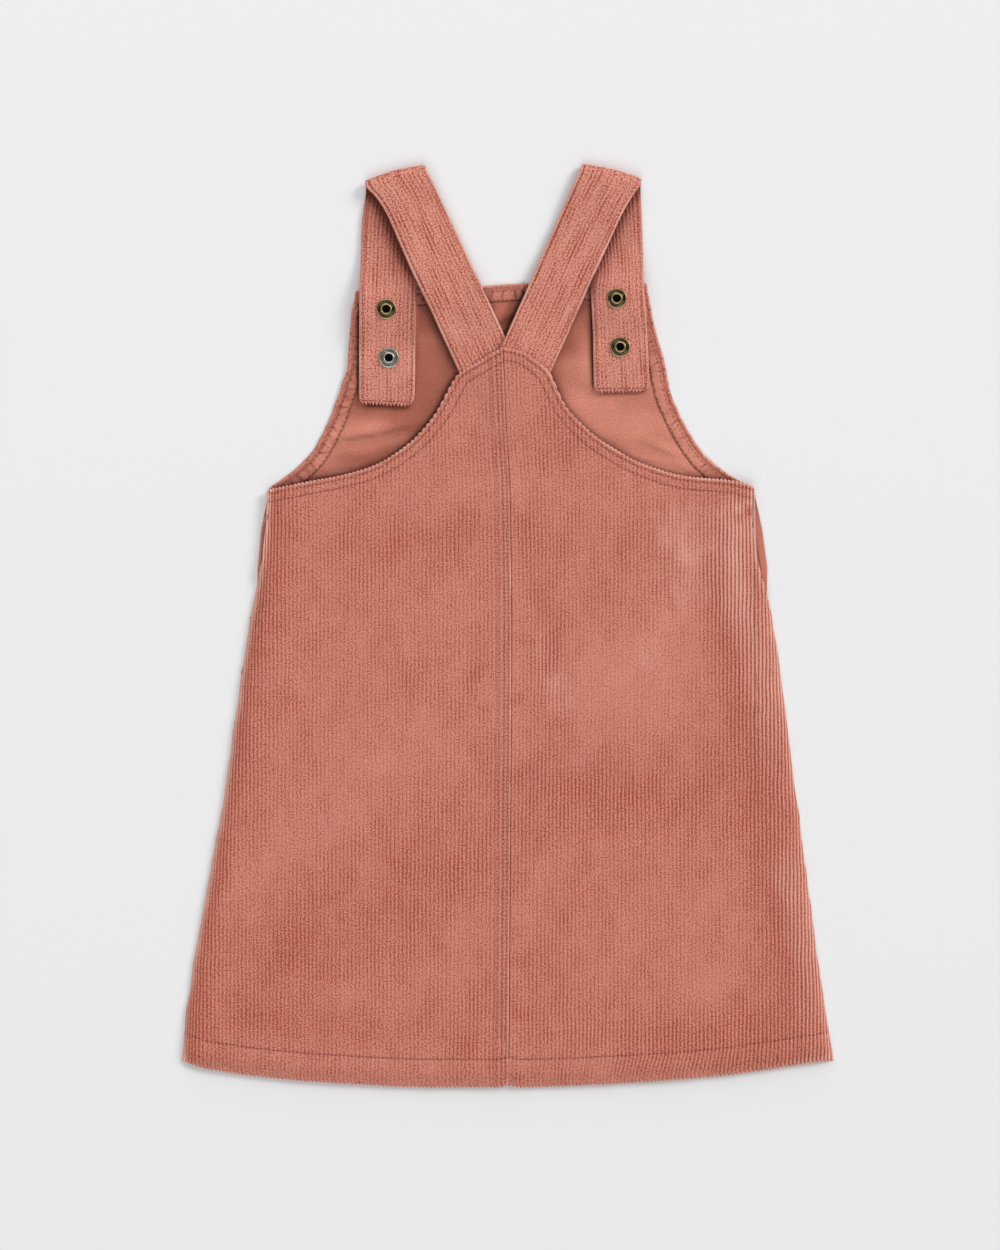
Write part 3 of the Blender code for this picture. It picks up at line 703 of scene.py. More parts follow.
# short creases beside the seam and at the sides: the same columns
shortCreases = [
    (-14, -102, 28, 16, 3.2, -0.55),
    (-20, -110, 35, 20, 4.0, 0.5),
    (13, -98, -30, 15, 3.2, -0.5),
    (18, -108, -36, 18, 4.0, 0.5),
    (-12, -176, 24, 15, 3.0, -0.5),
    (14, -184, -28, 17, 3.4, -0.55),
    (-15, -214, 32, 18, 3.6, -0.5),
    (16, -222, -34, 16, 3.2, -0.5),
    (-12, -246, 30, 14, 3.0, -0.45),
    (13, -252, -30, 14, 3.0, -0.45),
    (-158, 10, 12, 18, 3.0, -0.7),
    (-160, 3, 14, 16, 3.4, 0.6),
    (-156, -90, -14, 16, 3.0, -0.6),
    (-184, -140, 18, 18, 3.2, -0.6),
    (148, 47, -18, 18, 3.2, -0.7),
    (150, -58, 16, 16, 3.0, -0.6),
    (168, -120, -14, 16, 3.2, -0.5),
    (10, 36, -40, 16, 3.6, -0.4),
    (-12, 62, 38, 16, 3.6, -0.4),
    (12, 96, -30, 12, 3.0, -0.35),
]

# where the nap lies so that it looks lighter or darker, together with painted light and shade of the
# soft folds: x, y, way, half length, half width, share
napAndFoldShading = [
    (-66, -80, 30, 36, 24, 0.42),
    (144, 45, 90, 36, 7, 0.45),
    (-40, 80, 12, 60, 12, 0.40),
    (-38, 4, 60, 24, 16, 0.25),
    (-122, -126, 35, 40, 18, 0.40),
    (-70, -20, 60, 40, 26, -0.12),
    (-96, -190, 28, 90, 24, -0.70),
    (-142, -205, 60, 46, 28, -0.65),
    (-112, -250, 176, 80, 16, -1.15),
    (-60, 56, 10, 50, 18, -0.40),
    (66, -36, 20, 60, 36, 0.65),
    (100, -112, 176, 90, 18, -0.22),
    (36, 40, 20, 40, 22, 0.25),
    (26, 118, 70, 40, 16, -0.20),
    (20, 136, 70, 20, 14, 0.30),
    (112, 40, 80, 46, 30, 0.62),
    (-20, 140, 60, 26, 14, 0.30),
    (110, -190, 20, 60, 26, 0.15),
    (50, 82, 172, 90, 14, 0.38),
    (148, 22, 96, 56, 12, 0.38),
    (162, -40, 98, 40, 12, 0.50),
    (182, -180, 98, 90, 12, 0.45),
    (0, -60, 90, 200, 10, 0.25),
    (18, -8, 80, 18, 12, 0.36),
    (20, -188, 90, 14, 14, 0.36),
    (36, -250, 172, 34, 13, 0.42),
    (88, -267, 172, 30, 8, 0.38),
]

# where the ribs stand out crisply or are matted: x, y, way, half length, half width, share
crispPatches = [
    (170, -120, 98, 170, 17, 1.5),
    (142, 20, 95, 60, 18, 0.85),
    (40, -250, 172, 50, 16, 0.5),
    (40, 80, 172, 90, 14, 0.25),
    (60, -106, 178, 70, 22, 0.35),
    (100, 40, 80, 40, 44, 0.55),
    (22, -12, 92, 34, 11, 0.65),
    (-112, -248, 172, 80, 20, -1.05),
    (-104, -188, 30, 50, 22, -0.72),
    (-150, -200, 100, 60, 30, -0.40),
    (170, -262, 170, 60, 26, 0.7),
    (30, -36, 92, 60, 14, 0.5),
    (16, 46, 92, 20, 12, 0.4),
    (-30, -55, 40, 12, 8, 0.3),
    (10, -226, 92, 9, 8, 0.45),
    (28, -196, 80, 20, 12, 0.45),
    (-18, -272, 90, 10, 12, 0.5),
    (90, -262, 170, 70, 16, 0.45),
    (-150, 40, 94, 40, 10, 0.5),
    (-168, -80, 100, 60, 9, 0.4),
    (-60, -130, 30, 60, 40, 0.15),
    (-88, -20, 62, 60, 26, -0.25),
    (20, 8, 0, 14, 10, -0.3),
    (-24, -196, 60, 20, 10, -0.3),
    (120, -228, 20, 30, 14, -0.45),
]

# painted shade of small dips beside the seam and at the sides, and one painted highlight beside a
# dip: the same columns
seamDipShading = [
    (7, -46, 10, 7, 2.4, -0.75), (8, -8, -20, 7, 3.4, -0.6), (-10, 5, 30, 6, 4, -0.45),
    (-19, -30, 40, 10, 5, -0.5), (-10, -68, 20, 6, 3, -0.6), (-15, -54, 30, 7, 3, -0.5),
    (7, -95, -20, 9, 3.5, -0.6), (9, -130, -30, 9, 4, -0.4), (6, -189, -10, 8, 2.6, -0.55),
    (8, -210, 5, 9, 3.2, -0.75), (5, -243, -25, 7, 2.6, -0.7), (-24, -264, 20, 10, 5, -0.5),
    (6, -284, -40, 5, 4, -0.6), (-11, -223, 70, 9, 3, -0.45), (-22, -232, 60, 12, 5, -0.35),
    (-8, -150, 30, 9, 3, -0.4), (9, 62, -30, 8, 3, -0.4), (-9, 86, 30, 8, 3, -0.35),
    (8, 118, -40, 7, 3, -0.4), (100, -262, 60, 12, 7, -0.55), (-120, -266, 30, 12, 6, -0.3),
    (151, 71, 20, 6, 1.8, -1.4), (147, 75, 20, 5, 2.0, 0.7),
]

# how far the turned hem has crept sideways: x, y, way, half length, half width, distance
hemCreep = [(96, -284, 0, 58, 60, -4.2), (-110, -284, 0, 60, 60, -1.0)]


def sumOf(table, x, y):
    total = 0.0
    for middleX, middleY, turn, halfLength, halfWidth, height in table:
        c, s = math.cos(math.radians(turn)), math.sin(math.radians(turn))
        along = (x - middleX) * c + (y - middleY) * s
        aside = (y - middleY) * c - (x - middleX) * s
        total = total + height * np.exp(-(along / halfLength) ** 2 - (aside / halfWidth) ** 2)
    return total


def backHeight(x, y):
    inHem = 1 - step(y - hemLine(x), back["hemDepth"], back["hemDepth"] + 30)
    height = back["loft"] + sumOf(softFolds, x, y) * (1 - 0.85 * inHem) + 0.5 * inHem
    height = height + sumOf(shortCreases, x, y)
    height = height - back["hemDroop"] * (1 - step(y - hemLine(x), -2, 9))
    height = height + 0.22 * waves(x, y, 11, 26) + 0.10 * waves(x, y, 12, 9)
    toSeam = seamLine(y) - x
    ridge = back["ridge"] * (1 - step(toSeam, back["ridgeWidth"] - 1.5, back["ridgeWidth"] + 1))
    height = height + np.where(toSeam > 0, ridge, 0)
    rise = step(y, 95, 158) * (1 - step(-x, 2, 34))
    return height + (back["apexLoft"] - back["loft"]) * rise


def opened(side, y):
    foot = cut["slitFoot"][side]
    return step(y, foot - 4, foot + 5)


def rollTable(side, drop):
    # lengths along a quarter ellipse from its top, for each place's own drop
    angles = np.linspace(0, pi / 2, 25)
    out = back["rollReach"] * np.sin(angles)
    down = np.multiply.outer(drop, 1 - np.cos(angles))
    pieces = np.sqrt(np.diff(out) ** 2 + np.diff(down, axis=-1) ** 2)
    ease = (back["rollEase"][side] - 1) * 2
    eased = pieces * (1 + ease * np.sin((angles[1:] + angles[:-1]) / 2))
    run = np.concatenate([np.zeros(drop.shape + (1,)), np.cumsum(eased, -1)], -1)
    return angles, run


def edgeFoot(side, y):
    # height of the back's outer edge: on the table, or over the front where the slit is open
    return back["rollFoot"] + (back["slitEdge"] - back["rollFoot"]) * opened(side, y)


def backSurface(side, clothX, y):
    # where a place in the flat cloth lies: flat inside, rolled down near the side
    inward = inwardOf[side]
    edge = sideLine[side](y)
    fromEdge = (clothX - edge) * inward
    height = backHeight(clothX, y)
    past = back["rollReach"] - fromEdge
    drop = height - edgeFoot(side, y)
    angles, run = rollTable(side, drop)
    wanted = np.clip(past, 0, None)
    index = np.clip((run < wanted[..., None]).sum(-1) - 1, 0, len(angles) - 2)
    low = np.take_along_axis(run, index[..., None], -1)[..., 0]
    high = np.take_along_axis(run, index[..., None] + 1, -1)[..., 0]
    share = np.clip((wanted - low) / (high - low), 0, 1)
    angle = angles[index] + share * (angles[1] - angles[0])
    onRoll = past > 0
    x = np.where(onRoll, edge + inward * back["rollReach"] * (1 - np.sin(angle)), clothX)
    z = np.where(onRoll, height - drop * (1 - np.cos(angle)), height)
    return np.stack([x, y, z], -1)


def rollEnd(side, y):
    # the cloth's last place before the side seam, at each height
    inward = inwardOf[side]
    edge = sideLine[side](y)
    drop = backHeight(edge + inward * back["rollReach"], y) - edgeFoot(side, y)
    _, run = rollTable(side, drop)
    return edge + inward * (back["rollReach"] - run[..., -1])


def seamShift(clothX, y):
    return seamLine(y) * (1 - step(np.abs(clothX), 0, 70))


def surfaceNormal(side, clothX, y):
    near = 0.4
    over = backSurface(side, clothX + near, y) - backSurface(side, clothX - near, y)
    along = backSurface(side, clothX, y + near) - backSurface(side, clothX, y - near)
    normal = np.cross(over, along)
    length = np.linalg.norm(normal, axis=-1, keepdims=True)
    sideways = np.array([-inwardOf[side], 0.0, 0.0])        # past the end of the roll
    return np.where(length > 1e-6, normal / np.maximum(length, 1e-6), sideways)


def topEdgeLine(side):
    line = topLine[side]
    ends = (cut[side + "Top"][0][0], cut[side + "Top"][-1][0])
    xs = np.linspace(ends[0], ends[1], 500)
    return np.stack([xs, line(xs)], -1)


def heightBelowTop(side, xs, distance):
    # for each x, the height at which a place is that far inside the top edge
    line = topEdgeLine(side)
    high = topLine[side](xs)
    low = high - 3.2 * distance - 0.01
    for _ in range(22):
        middle = (high + low) / 2
        inside = edgeDistance(xs, middle, line) > distance
        low = np.where(inside, middle, low)
        high = np.where(inside, high, middle)
    return (high + low) / 2


def backColumns(side):
    # distances from the seam, a few for each rib, out to the hem's corner
    inward = inwardOf[side]
    corner = rollEnd(side, np.array([cut[side + "Side"][0][1]]))[0]
    reach = abs(corner) - 0.6
    ribs = np.arange(int(reach / rib["pitch"]) + 1)
    places = (ribs[:, None] + np.array(rib["phases"])[None, :]).ravel() * rib["pitch"]
    places = np.append(places[places < reach - 0.2], reach)
    return np.sort(-inward * places)


def backGrid(side):
    # columns along the ribs, and each row's height, depth under the top layer and distance
    # from the top edge: the turned-up hem, its fold, the skirt and the topstitched edge
    inward = inwardOf[side]
    columns = backColumns(side)
    # a column ends at the armhole or apex edge, or where it runs off the side
    ys = np.linspace(-272, 92, 500)
    ends = rollEnd(side, ys)
    order = np.argsort(ends)
    runOff = np.interp(columns, ends[order], ys[order])
    shifted = columns + seamShift(columns, topLine[side](columns))
    armhole = topLine[side](shifted)
    pastCorner = (columns - rollEnd(side, np.array([85.0]))[0]) * inward < 0.3
    top = np.where(pastCorner, np.minimum(runOff, armhole), armhole)
    bottom = hemLine(columns)
    top = np.maximum(top, bottom + 3.0)
    squeeze = np.clip((top - bottom) / 60, 0.02, 1)       # short columns have all their rows too
    radius = back["hemRadius"]
    hemRows = [(out, -2 * radius) for out in (14.5, 8.0, radius + 1.2)]
    for turn in np.radians(back["foldTurns"]):
        hemRows.append((radius * (1 - math.cos(turn)), -radius + radius * math.sin(turn)))
    hemRows += [(out, 0) for out in back["hemSteps"]]
    rows = []
    for out, depth in hemRows:
        sunk = np.full_like(bottom, depth) * np.clip(squeeze * 2, 0, 1)
        rows.append((bottom + out * squeeze, sunk, np.full_like(bottom, back["farInside"])))
    edgeHeights = []
    for gap in back["edgeSteps"]:
        down = np.where(pastCorner, gap * squeeze, top - heightBelowTop(side, shifted, gap))
        edgeHeights.append(top - down)
    first, last = rows[-1][0], edgeHeights[0]
    for k in range(1, back["skirtSteps"]):
        height = first + (last - first) * k / back["skirtSteps"]
        rows.append((height, np.zeros_like(bottom), np.full_like(bottom, back["farInside"])))
    for gap, height in zip(back["edgeSteps"], edgeHeights):
        sunk = np.full_like(bottom, -curl(gap, back["lipRadius"]))
        rows.append((height, sunk, np.where(pastCorner, back["farInside"], gap)))
    y, sunk, gaps = (np.array(values) for values in zip(*rows))
    return columns, bottom, y, sunk, gaps


def backPile(x, y, fromSide):
    # how the nap lies, with painted light and shade of the folds and dips, and how crisply the ribs
    # stand, apart from the stitching and the edges
    nap_and_painted_light = sumOf(napAndFoldShading, x, y) + sumOf(seamDipShading, x, y)
    nap_and_painted_light = nap_and_painted_light + 0.10 * waves(x, y, 31, 34) + 0.06 * waves(x, y, 32, 9)
    crisp = sumOf(crispPatches, x, y) + 0.12 * waves(x, y, 35, 16)
    return nap_and_painted_light, crisp + 0.9 * bell(fromSide, 0, 12)


def backPinch(gaps, fromHem):
    # where the edge and hem stitching pulls the cloth down
    pinch = np.zeros_like(gaps)
    for row in back["edgeRows"]:
        pinch = np.maximum(pinch, bell(gaps, row, 0.5))
    return np.maximum(pinch, bell(fromHem, back["hemDepth"] + 0.05, 0.45))


def backRibs(side, cloth, y, sunk, gaps, fromHem, pinch, stand):
    # how far the ribs stand out: uneven, pinched by the stitching and beaded at cut ends
    ribPhase = np.abs(cloth) / rib["pitch"]
    perRib = np.floor(ribPhase + 1e-6).astype(int)
    uneven = rng.uniform(0.86, 1.12, perRib.max() + 1)[perRib]
    proud = rib["height"] * ribShape(ribPhase) * uneven * stand
    if side == "left":
        for out in back["seamRows"]:
            proud = proud - 0.16 * bell(np.abs(cloth), out, 0.5)
    atHem = bell(fromHem, 0.0, 1.3) * (sunk < -0.02)
    beaded = np.maximum(atHem, 0.6 * bell(gaps, 0, 0.8))
    proud = proud * (1 - 0.35 * pinch) - 0.16 * pinch
    proud = proud + rib["bead"] * beaded * ribTooth(ribPhase)
    return proud + 0.08 * waves(cloth, y, 33, 3.4) * (1 - pinch)


def backShade(side, x, y, toSeam, pinch):
    # painted shade at the stitching and in the seam's crevice, and painted dashes of shade along the
    # rows beside the seam
    unevenSeam = 0.55 + 0.45 * waves(y, 0, 36, 40) - 0.25 * step(y, 20, 110)
    shade = (0.85 + 0.2 * waves(x, y, 38, 7)) * pinch
    shade = shade + 0.75 * unevenSeam * bell(toSeam, 0, 0.7) * (side == "right")
    row = np.zeros_like(y)
    if side == "left":
        for out in back["seamRows"]:
            row = np.maximum(row, 0.75 * bell(toSeam, out, 0.55))
    return np.clip(shade, 0, 0.95), row


def backRimHighlights(side, x, y, toSeam, gaps, fromSide, fromHem):
    # lighter along the edges, the hem and the seam: partly pile brushed up there, partly painted
    # highlight on the rolled edges and the seam's ridge; the left edge, which faces away from the
    # key light, gets more painted highlight
    rimHighlight = 1.3 if side == "left" else 0.6
    nap_and_painted_light = (1.0 + 0.3 * waves(x, y, 39, 20)) * bell(gaps, 0.2, 0.7)
    nap_and_painted_light = nap_and_painted_light + rimHighlight * bell(fromSide, 0, 3.0) + 0.55 * bell(fromHem, 0, 4)
    nap_and_painted_light = nap_and_painted_light + 0.25 * bell(fromHem, back["hemDepth"] - 2.0, 1.4) * (0.5 + waves(x, y, 34, 14))
    # painted highlight on the seam's ridge, left of the seam
    bright = 0.80 + 0.4 * waves(y, 0, 37, 30) - 0.4 * step(y, 20, 110)
    return nap_and_painted_light + bright * bell(toSeam, 0.4, 0.7) * (side == "left")


def makeBack(side):
    columns, bottom, y, sunk, gaps = backGrid(side)
    cloth = np.broadcast_to(columns, y.shape)
    toSeam = np.abs(cloth)
    fromHem = y - bottom[None, :]
    x = cloth + seamShift(cloth, y)
    x = x + 0.26 * waves(cloth, y, 13, 24) * step(toSeam, 1, 12) * step(gaps, 0, 4)
    # the hem's turning has crept, so its ribs lean
    x = x + sumOf(hemCreep, x, y) * np.clip((back["hemDepth"] - fromHem) / back["hemDepth"], 0, 1)
    base = backSurface(side, x, y) + surfaceNormal(side, x, y) * sunk[..., None]
    base[..., 2] -= 0.5 * curl(toSeam, back["seamCurl"])
    fromSide = np.abs(base[..., 0] - sideLine[side](y))
    nap_and_painted_light, crisp = backPile(x, y, fromSide)
    stand = np.clip(0.95 - 0.35 * step(nap_and_painted_light, -0.2, 0.7) + 0.7 * crisp, 0.5, 1.5)
    pinch = backPinch(gaps, fromHem)
    proud = backRibs(side, cloth, y, sunk, gaps, fromHem, pinch, stand)
    shade, row = backShade(side, x, y, toSeam, pinch)
    nap_and_painted_light = nap_and_painted_light + backRimHighlights(side, x, y, toSeam, gaps, fromSide, fromHem)
    marks = {"nap_and_painted_light": nap_and_painted_light, "crisp": crisp, "shade": shade, "row": row}
    return sheetPiece("back_" + side, base, proud, back["wall"], np.stack([cloth, y], -1),
                      marks, corduroy, smoothSide)


backLeft = makeBack("left")
backRight = makeBack("right")


def backStitches(side):
    rows = []
    inward = inwardOf[side]
    # along the top edge, twice
    for gap in back["edgeRows"]:
        start = cut[side + "Top"][0][0] if side == "left" else cut[side + "Top"][-1][0]
        xs = np.linspace(start + inward * 1.2, seamLine(170.0) - inward * 0.8, 400)
        ys = heightBelowTop(side, xs, gap)
        path = backSurface(side, xs, ys)
        rows.append(placeStitches(path, surfaceNormal(side, xs, ys), 0.4, stitch["sink"]))
    # hem
    corner = rollEnd(side, np.array([-256.0]))[0]
    xs = np.linspace(corner + inward * 1.0, -inward * 0.6, 500)
    if side == "right":
        xs = xs[::-1]
    ys = hemLine(xs) + back["hemDepth"]
    path = backSurface(side, xs + seamShift(xs, ys), ys)
    rows.append(placeStitches(path, surfaceNormal(side, xs, ys), 0.4, stitch["sink"]))
    if side == "left":
        for out in back["seamRows"]:
            ys = np.linspace(-288.5, 172.0, 600)
            xs = seamLine(ys) - out
            path = backSurface(side, xs, ys)
            normals = surfaceNormal(side, xs, ys)
            rows.append(placeStitches(path, normals, 0.6 * out, stitch["sink"]))
    return rows


stitchesBack = stitchPiece("stitches_back", backStitches("left") + backStitches("right"))


# the front panel, whose smooth wrong side shows in the bib and the side slits
front = {
    "wall": 1.0,
    "ribDrop": 0.62,             # the ribbed side rests on the table
    "inset": 2.8,                # inside the back's roll
    "lip": 1.1,
    "turned": 3.0,               # how far the ribbed side comes over the edge
    "foot": 86.0,                # height at which its rows stop following the hem
    "halfWidth": 206.0,
    "ribHeight": 0.42,
    "hemSteps": (4.2, 5.0, 8, 16, 17.2, 18.4),
    "skirtSteps": 14,
    "bibSteps": 60,
    "topSteps": (9.6, 9.0, 8.4, 6, 3.4, 2.4, 1.2, 0.5, 0.15, 0.0),
    "slitMargin": {"left": 26.0, "right": 80.0},   # its sides are turned over above this
    "studLift": 2.9,
    "liftFlat": 11.0,
    "liftFade": 14.0,
    "phases": (0.0, 0.33, 0.67),
}


def middleOf(node):
    low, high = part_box(node)
    return ((low.x + high.x) / 2 / mm, (low.y + high.y) / 2 / mm)


studSpots = [middleOf("snap_left_upper"), middleOf("snap_right_upper")]


def bibLift(x, y):
    lift = np.zeros(np.broadcast(x, y).shape)
    for spotX, spotY in studSpots:
        away = np.hypot(x - spotX, y - spotY)
        fade = 1 - step(away, front["liftFlat"], front["liftFlat"] + front["liftFade"])
        lift = np.maximum(lift, front["studLift"] * fade)
    return lift


# creases in the bib: x, y, way, half length, half width, height
bibCreases = [
    (-86, 123, 11, 26, 3.0, 2.2), (-112, 96, 4, 20, 3.0, 1.5),
    (-98, 108, 14, 20, 3.0, 1.2), (-120, 108, 40, 8, 2.2, 0.9),
    (88, 100, -14, 24, 3.0, 1.2), (96, 113, -24, 18, 3.0, 1.1), (112, 100, -30, 10, 2.4, 0.7),
    (0, 196, 4, 20, 4.5, 0.6), (-18, 190, 70, 14, 4.0, 0.5),
    (40, 150, 80, 30, 7.0, 0.5), (-48, 150, 100, 28, 7.0, 0.5),
]

# where the bib's cloth bulges up against a strap's left edge: the edge's lower and upper end,
# the bulge's height, how near it stands and how far it reaches
bibTucks = [
    (-93.9, 142.0, -93.4, 206.0, 2.2, 1.3, 13.0),
    (53.7, 149.0, 52.4, 212.0, 2.6, 1.3, 18.0),
    (-31.5, 161.0, -58.0, 219.0, 1.2, 1.6, 12.0),
    (-2.0, 181.0, 13.0, 214.0, 1.5, 2.2, 7.0),
]


def bibTucked(x, y):
    raised = 0.0
    for x1, y1, x2, y2, height, near, far in bibTucks:
        along, aside, length = besideLine(x, y, x1, y1, x2, y2)
        share = step(aside, near * 0.3, near) * (1 - step(aside, near + 1.5, far))
        ends = step(along, -3, 5) * (1 - step(along, length - 5, length + 4))
        raised = np.maximum(raised, height * share * ends)
    return raised


# painted deep shade in the narrow gaps beside and under the straps: the ends of each gap, how
# dark it is and how far it reaches to the left and right
bibGaps = [
    (-93.8, 143.0, -93.6, 206.0, 1.0, 2.0, 6.0),
    (53.8, 150.0, 52.6, 212.0, 1.0, 2.0, 6.0),
    (-91.0, 139.2, -62.0, 138.2, 0.74, 4.0, 1.7),
    (57.5, 147.4, 86.0, 148.2, 0.66, 4.0, 1.6),
    (-33.0, 160.0, -56.0, 210.0, 0.55, 3.4, 5.0),
    (24.0, 160.0, 44.0, 204.0, 0.35, 4.0, 4.0),
    (-2.2, 181.0, 13.0, 214.0, 0.75, 5.5, 4.0),
    (-8.8, 197.0, -16.0, 213.0, 0.45, 4.0, 3.5),
    (-1.6, 178.0, 3.0, 192.0, 0.90, 5.0, 3.5),
]


# how dark the painted shadow on the bib is close under the back's edge, and a little further off
backShadow = {"left": (0.55, 0.26), "right": (0.50, 0.08)}


def bibShade(x, y):
    shade = np.zeros(np.broadcast(x, y).shape)
    for x1, y1, x2, y2, dark, toLeft, toRight in bibGaps:
        along, aside, length = besideLine(x, y, x1, y1, x2, y2)
        reach = np.where(aside > 0, toLeft, toRight)
        ends = step(along, -2, 4) * (1 - step(along, length - 6, length + 3))
        shade = np.maximum(shade, dark * bell(aside, 0, reach) * ends)
    # painted shadow on the cloth under the back's curved top edges
    for side in ("left", "right"):
        line = topEdgeLine(side)
        away = edgeDistance(x, y, line)
        near, far = backShadow[side]
        shade = np.maximum(shade, near * bell(away, 0, 2.4) + far * bell(away, 0, 8))
    return shade + sumOf(bibCreaseShade, x, y)


# painted light and shade on the smooth side: x, y, way, half length, half width, share
bibLights = [
    (88, 124, 100, 64, 38, 0.80), (112, 112, 52, 46, 12, 0.35), (-104, 112, 40, 44, 12, 0.48),
    (0, 204, 3, 26, 12, 0.30), (-96, 124, 11, 22, 5, 0.30), (-92, 112, 12, 24, 4, 0.25),
    (-70, 116, 14, 14, 3, 0.25), (110, 108, -26, 16, 3, 0.35), (84, 106, -18, 18, 2.5, 0.3),
    (46, 130, 75, 44, 18, 1.1), (100, 102, -20, 24, 10, 0.15), (-50, 152, 70, 24, 12, -0.7),
]

# painted shade along the creases: x, y, way, half length, half width, share
bibCreaseShade = [
    (-89, 119.8, 10, 20, 1.0, 0.34), (-108, 98.5, 5, 16, 1.0, 0.24),
    (-70, 124, 16, 9, 1.2, 0.16), (-104, 107.5, 14, 10, 0.9, 0.16),
    (90, 103.5, -12, 14, 0.9, 0.22), (99, 109.5, -22, 10, 0.9, 0.2),
    (-4, 191, 24, 9, 1.4, 0.28), (4, 196, 20, 8, 1.0, 0.2), (-50, 150, 75, 26, 10, 0.07),
]


def bibLit(x, y):
    return np.clip(sumOf(bibLights, x, y) + 0.22 * waves(x, y, 42, 17), 0, 1)


def bibHeight(x, y):
    # upper, smooth side of the front
    inBib = step(y, 84, 96)
    soft = (0.45 * waves(x, y, 41, 22) + sumOf(bibCreases, x, y)) * inBib
    raised = np.maximum(bibLift(x, y), bibTucked(x, y))
    return front["ribDrop"] + front["wall"] + raised + np.clip(soft, -0.2, 1.9)


def frontEdge(side, y):
    inside = sideLine[side](y) + inwardOf[side] * front["inset"]
    slit = cut["slitFoot"][side]
    share = step(y, slit - 12, slit + 6)
    return inside + (bibLine[side](y) - inside) * share


def edgeSlopes(x, y, gap):
    # the way inward from the bib's edge at each place
    overX, overY = np.gradient(x, axis=1), np.gradient(y, axis=1)
    alongX, alongY = np.gradient(x, axis=0), np.gradient(y, axis=0)
    over, along = np.gradient(gap, axis=1), np.gradient(gap, axis=0)
    size = overX * alongY - overY * alongX
    size = np.where(np.abs(size) < 1e-6, 1e-6, size)
    slopeX = (over * alongY - along * overY) / size
    slopeY = (along * overX - over * alongX) / size
    length = np.maximum(np.hypot(slopeX, slopeY), 1e-6)
    return slopeX / length, slopeY / length


def makeFront():
    pitch = rib["pitch"]
    reach = front["halfWidth"]
    ribs = np.arange(-int(reach / pitch) - 1, int(reach / pitch) + 1)
    nominal = ((ribs[:, None] + np.array(front["phases"])[None, :]) * pitch).ravel()
    nominal = nominal[np.abs(nominal) < reach]
    share = (nominal - nominal[0]) / (nominal[-1] - nominal[0])
    hemTop, bibEnd = front["hemSteps"][-1], front["topSteps"][0]
    skirtSteps, bibSteps = front["skirtSteps"], front["bibSteps"]
    rowsX, rowsY = [], []
    x = share * 400 - 200
    rowKinds = [("hem", gap) for gap in front["hemSteps"]]
    rowKinds += [("skirt", (k + 1) / skirtSteps) for k in range(skirtSteps)]
    rowKinds += [("bib", (k + 1) / (bibSteps + 1)) for k in range(bibSteps)]
    rowKinds += [("top", gap) for gap in front["topSteps"]]
    for kind, value in rowKinds:
        # a few rounds, because a row's height and the places of its ends depend on each other
        for _ in range(6):
            if kind == "hem":
                y = hemLine(x) + value
            elif kind == "skirt":
                y = hemLine(x) + hemTop + (front["foot"] - hemLine(x) - hemTop) * value
            elif kind == "bib":
                y = front["foot"] + (bibTopLine(x) - bibEnd - front["foot"]) * value
            else:
                y = bibTopLine(x) - value
            left, right = frontEdge("left", y), frontEdge("right", y)
            x = left + (right - left) * share
        rowsX.append(x)
        rowsY.append(y)
    x, y = np.array(rowsX), np.array(rowsY)
    fromLeft, fromRight = x - x[:, :1], x[:, -1:] - x
    sideGap = np.minimum(fromLeft, fromRight)
    topGap = np.maximum(bibTopLine(x) - y, 0)
    margin = front["slitMargin"]
    lowest = np.where(fromLeft < fromRight, margin["left"], margin["right"])
    gap = np.minimum(sideGap + 4 * (1 - step(y, lowest, lowest + 8)), topGap)
    z = bibHeight(x, y) - front["wall"] + curl(gap, front["lip"])
    base = np.stack([x, y, z], -1)[:, ::-1]            # its ribbed side faces the table
    flipped = x[:, ::-1]
    flippedGap = gap[:, ::-1]
    high = front["ribHeight"]
    proud = high * ribShape(flipped / pitch) * (1 + 0.8 * bell(flippedGap, 0, 0.9))
    proud = np.minimum(proud, high) + 0.35 * bell(flippedGap, 0, 0.8)
    # painted highlight along the front's turned edge
    nap_and_painted_light = 0.2 * waves(flipped, y[:, ::-1], 51, 22) + 0.5 * bell(flippedGap, 0, 1.0)
    inBib = y > 84
    shade = np.where(inBib, bibShade(x, y), 0)
    # painted shadow along the back's open edge, over the slit strips
    backEdges = np.where(fromLeft < fromRight, sideLine["left"](y), sideLine["right"](y))
    uneven = 0.8 + 0.3 * waves(y, 0, 43, 9)
    slit = uneven * bell(np.abs(x - backEdges), 0.2, 0.9) * step(y, 14, 24) * (1 - step(y, 80, 86))
    shade = np.maximum(shade, 0.85 * slit)[:, ::-1]
    uv = np.stack([flipped, y[:, ::-1]], -1)
    # over the edge the cloth map goes on, so its ribs slant there
    toEdge = gap * (gap < front["turned"] + 2)
    slopeX, slopeY = edgeSlopes(x, y, gap)
    turnedUv = np.stack([x - 2 * toEdge * slopeX, y - 2 * toEdge * slopeY], -1)[:, ::-1]
    # painted light on the bib, and a lighter tone on the slit strips
    lit = np.where(inBib, bibLit(x, y), 0.55)[:, ::-1]
    marks = {"nap_and_painted_light": nap_and_painted_light, "shade": shade, "lit": lit, "crisp": 0 * nap_and_painted_light, "row": 0 * nap_and_painted_light}
    return sheetPiece("front", base, proud, front["wall"], uv, marks, corduroy, smoothSide,
                      flippedGap < front["turned"], turnedUv)


frontPiece = makeFront()


